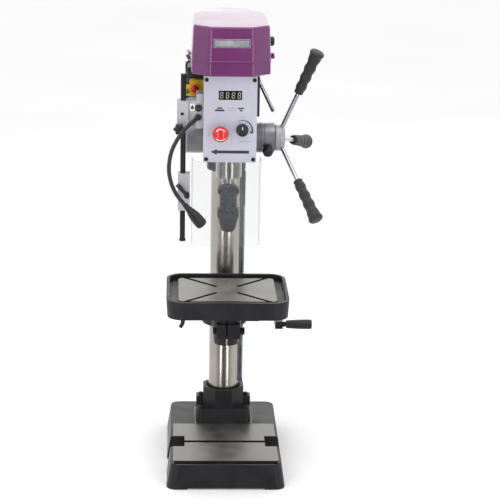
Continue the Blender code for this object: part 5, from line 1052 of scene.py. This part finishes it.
def make_coolant_label():
    """A white label with a drop on it.

    With c = cos a, the drop is (3.4 * sin a * (1 - 0.55 * max(c, 0)), 4.6 * c + 1.8 * max(c, 0) ** 6).
    """
    side = box("side_box")
    coolant = middle("coolant_button")
    drop_turn = np.linspace(0, 2 * math.pi, 32, endpoint=False)
    drop = np.column_stack([
        3.4 * np.sin(drop_turn) * (1 - 0.55 * np.clip(np.cos(drop_turn), 0, 1)),
        4.6 * np.cos(drop_turn) + 1.8 * np.clip(np.cos(drop_turn), 0, 1) ** 6,
    ])
    centre = np.array([coolant[0] - 13.5, coolant[2] + 1.0])
    front = side[0][1]
    patch = round_corners(np.array([(-5.6, -7.4), (5.6, -7.4), (5.6, 8.2), (-5.6, 8.2)]) + centre, 1.5)
    put("coolant_label", drawn(patch, front - 0.1, front + 0.4), WHITE_PRINT, "stand")
    put("coolant_drop", drawn(drop + centre, front - 0.2, front + 0.2), BLACK_PRINT, "stand")


def make_fittings():
    """The bracket's grub screw, the plate on the head's side, the quill clamp's pad and the table's drain."""
    bracket = box("guard_bracket")
    profile = [(0, 0.3), (1.6, 0.3), (1.8, -0.2), (3.4, -0.2), (3.4, -1.2), (0, -1.2)]
    place_of = (middle("guard_bracket")[0] - 1.0, bracket[0][1] - 0.05, bracket[0][2] + 41)
    grub = turned(profile, place_of, (0, 1, 0), 24)
    put("bracket_grub_screw", grub, BLACK_OXIDE, "stand")

    head = box("control_panel")
    strip = round_corners([(-225, 852), (-120, 852), (-120, 942), (-225, 942)], 6)
    put("head_side_plate", drawn(strip, 57.2, 65.8, "x"), MOULDED_NYLON, "stand", edge=1.5)
    block = slab((-47, head[1][1] + 2.0, 738), (-33, head[1][1] + 14, 752.2))
    put("quill_clamp_pad", block, BLACK_OXIDE, "stand", edge=1.0)

    table = box("table_top")
    x, z = table[0][0] + 38, table[0][2] + 78
    elbow = curve_through([(x, -250, z), (x, -250, z - 20), (x - 1, -250, z - 28), (x - 6, -250, z - 37)], 8)
    put(
        "table_drain_elbow", swept(elbow, np.linspace(5.2, 4.4, len(elbow)), 24), MOULDED_NYLON, "table",
        edge=0.8, sharp=50,
    )


# ---- Studio ----


def light(name, target, centre, size, power):
    """A flat lamp of a given width and height in metres that faces a point."""
    data = bpy.data.lights.new(name, "AREA")
    data.shape, data.size, data.size_y, data.energy = "RECTANGLE", size[0], size[1], power
    lamp = bpy.data.objects.new(name, data)
    bpy.context.scene.collection.objects.link(lamp)
    way = Vector(target) - Vector(centre)
    lamp.matrix_world = Matrix.Translation(centre) @ way.to_track_quat("-Z", "Y").to_matrix().to_4x4()


def studio():
    """A pale floor, a room that is bright above and behind and dim in front, and two tall soft strips."""
    scene = bpy.context.scene
    scene.view_settings.view_transform = "Standard"
    world = scene.world or bpy.data.worlds.new("studio")
    scene.world = world
    world.use_nodes = True
    tree = world.node_tree
    tree.nodes.clear()
    way = add(tree, "ShaderNodeTexCoord").outputs["Generated"]
    split = add(tree, "ShaderNodeSeparateXYZ", {0: way})
    depth, height = split.outputs["Y"], split.outputs["Z"]
    ahead = add(
        tree, "ShaderNodeMapRange",
        {"Value": depth, "From Min": -0.95, "From Max": -0.35, "To Min": 0.2, "To Max": 1.0},
    )
    behind = add(
        tree, "ShaderNodeMapRange",
        {"Value": depth, "From Min": 0.55, "From Max": 0.95, "To Min": 1.05, "To Max": 1.8},
    )
    below = add(
        tree, "ShaderNodeMapRange",
        {"Value": height, "From Min": -0.12, "From Max": 0.02, "To Min": 0.85, "To Max": 1.0},
    )
    room = add(tree, "ShaderNodeMath", {0: ahead.outputs[0], 1: behind.outputs[0]}, operation="MULTIPLY")
    room = add(tree, "ShaderNodeMath", {0: room.outputs[0], 1: below.outputs[0]}, operation="MULTIPLY")
    glow = add(tree, "ShaderNodeBackground", {"Color": (1, 1, 1, 1), "Strength": room.outputs[0]})
    add(tree, "ShaderNodeOutputWorld", {0: glow.outputs[0]})

    side = 30.0
    mesh = bpy.data.meshes.new("floor")
    mesh.from_pydata(
        [(-side, -side, 0), (side, -side, 0), (side, side, 0), (-side, side, 0)], [], [(0, 1, 2, 3)],
    )
    floor = bpy.data.objects.new("floor", mesh)
    bpy.context.scene.collection.objects.link(floor)
    paper = finish("white_paper_floor", ("f6f6f6", "fafafa"), (0.85, 0.95), patch=900, grain=30, depth=0.01)
    mesh.materials.append(paper)
    floor.visible_glossy = False  # so that upright metal shows the dim room in front and the two strips

    centre = (0.0, -0.15, 0.55)
    light("left_strip", centre, (-0.93, -2.25, 0.6), (0.26, 3.2), 20)
    light("right_strip", centre, (1.10, -2.15, 0.6), (0.26, 3.2), 20)
    light("overhead", centre, (-0.2, -0.6, 3.0), (1.6, 1.6), 22)


def camera():
    """A long lens held level with the machine's top and looking down a little."""
    data = bpy.data.cameras.new("camera")
    data.lens, data.sensor_width, data.clip_end = 126.38, 36.0, 100.0
    pitch, yaw, roll = 0.26719, 0.044233, 0.0179935
    forward = Vector((math.sin(yaw) * math.cos(pitch), math.cos(yaw) * math.cos(pitch), -math.sin(pitch)))
    right = Vector((math.cos(yaw), -math.sin(yaw), 0))
    up = right.cross(forward)
    across, above = right * math.cos(roll) + up * math.sin(roll), up * math.cos(roll) - right * math.sin(roll)
    seen = bpy.data.objects.new("camera", data)
    bpy.context.scene.collection.objects.link(seen)
    turn = Matrix((across, above, -forward)).transposed().to_4x4()
    seen.matrix_world = Matrix.Translation((-0.12026, -4.07133, 1.59881)) @ turn
    bpy.context.scene.camera = seen


make_stand()
make_cover()
make_rest()
make_controls()
make_grips()
make_feed_marks()
make_chuck()
make_lamp()
make_cable()
make_handles()
make_motor()
make_flange_screws()
make_hinge_pin()
make_guard_post()
make_coolant_label()
make_fittings()
studio()
camera()
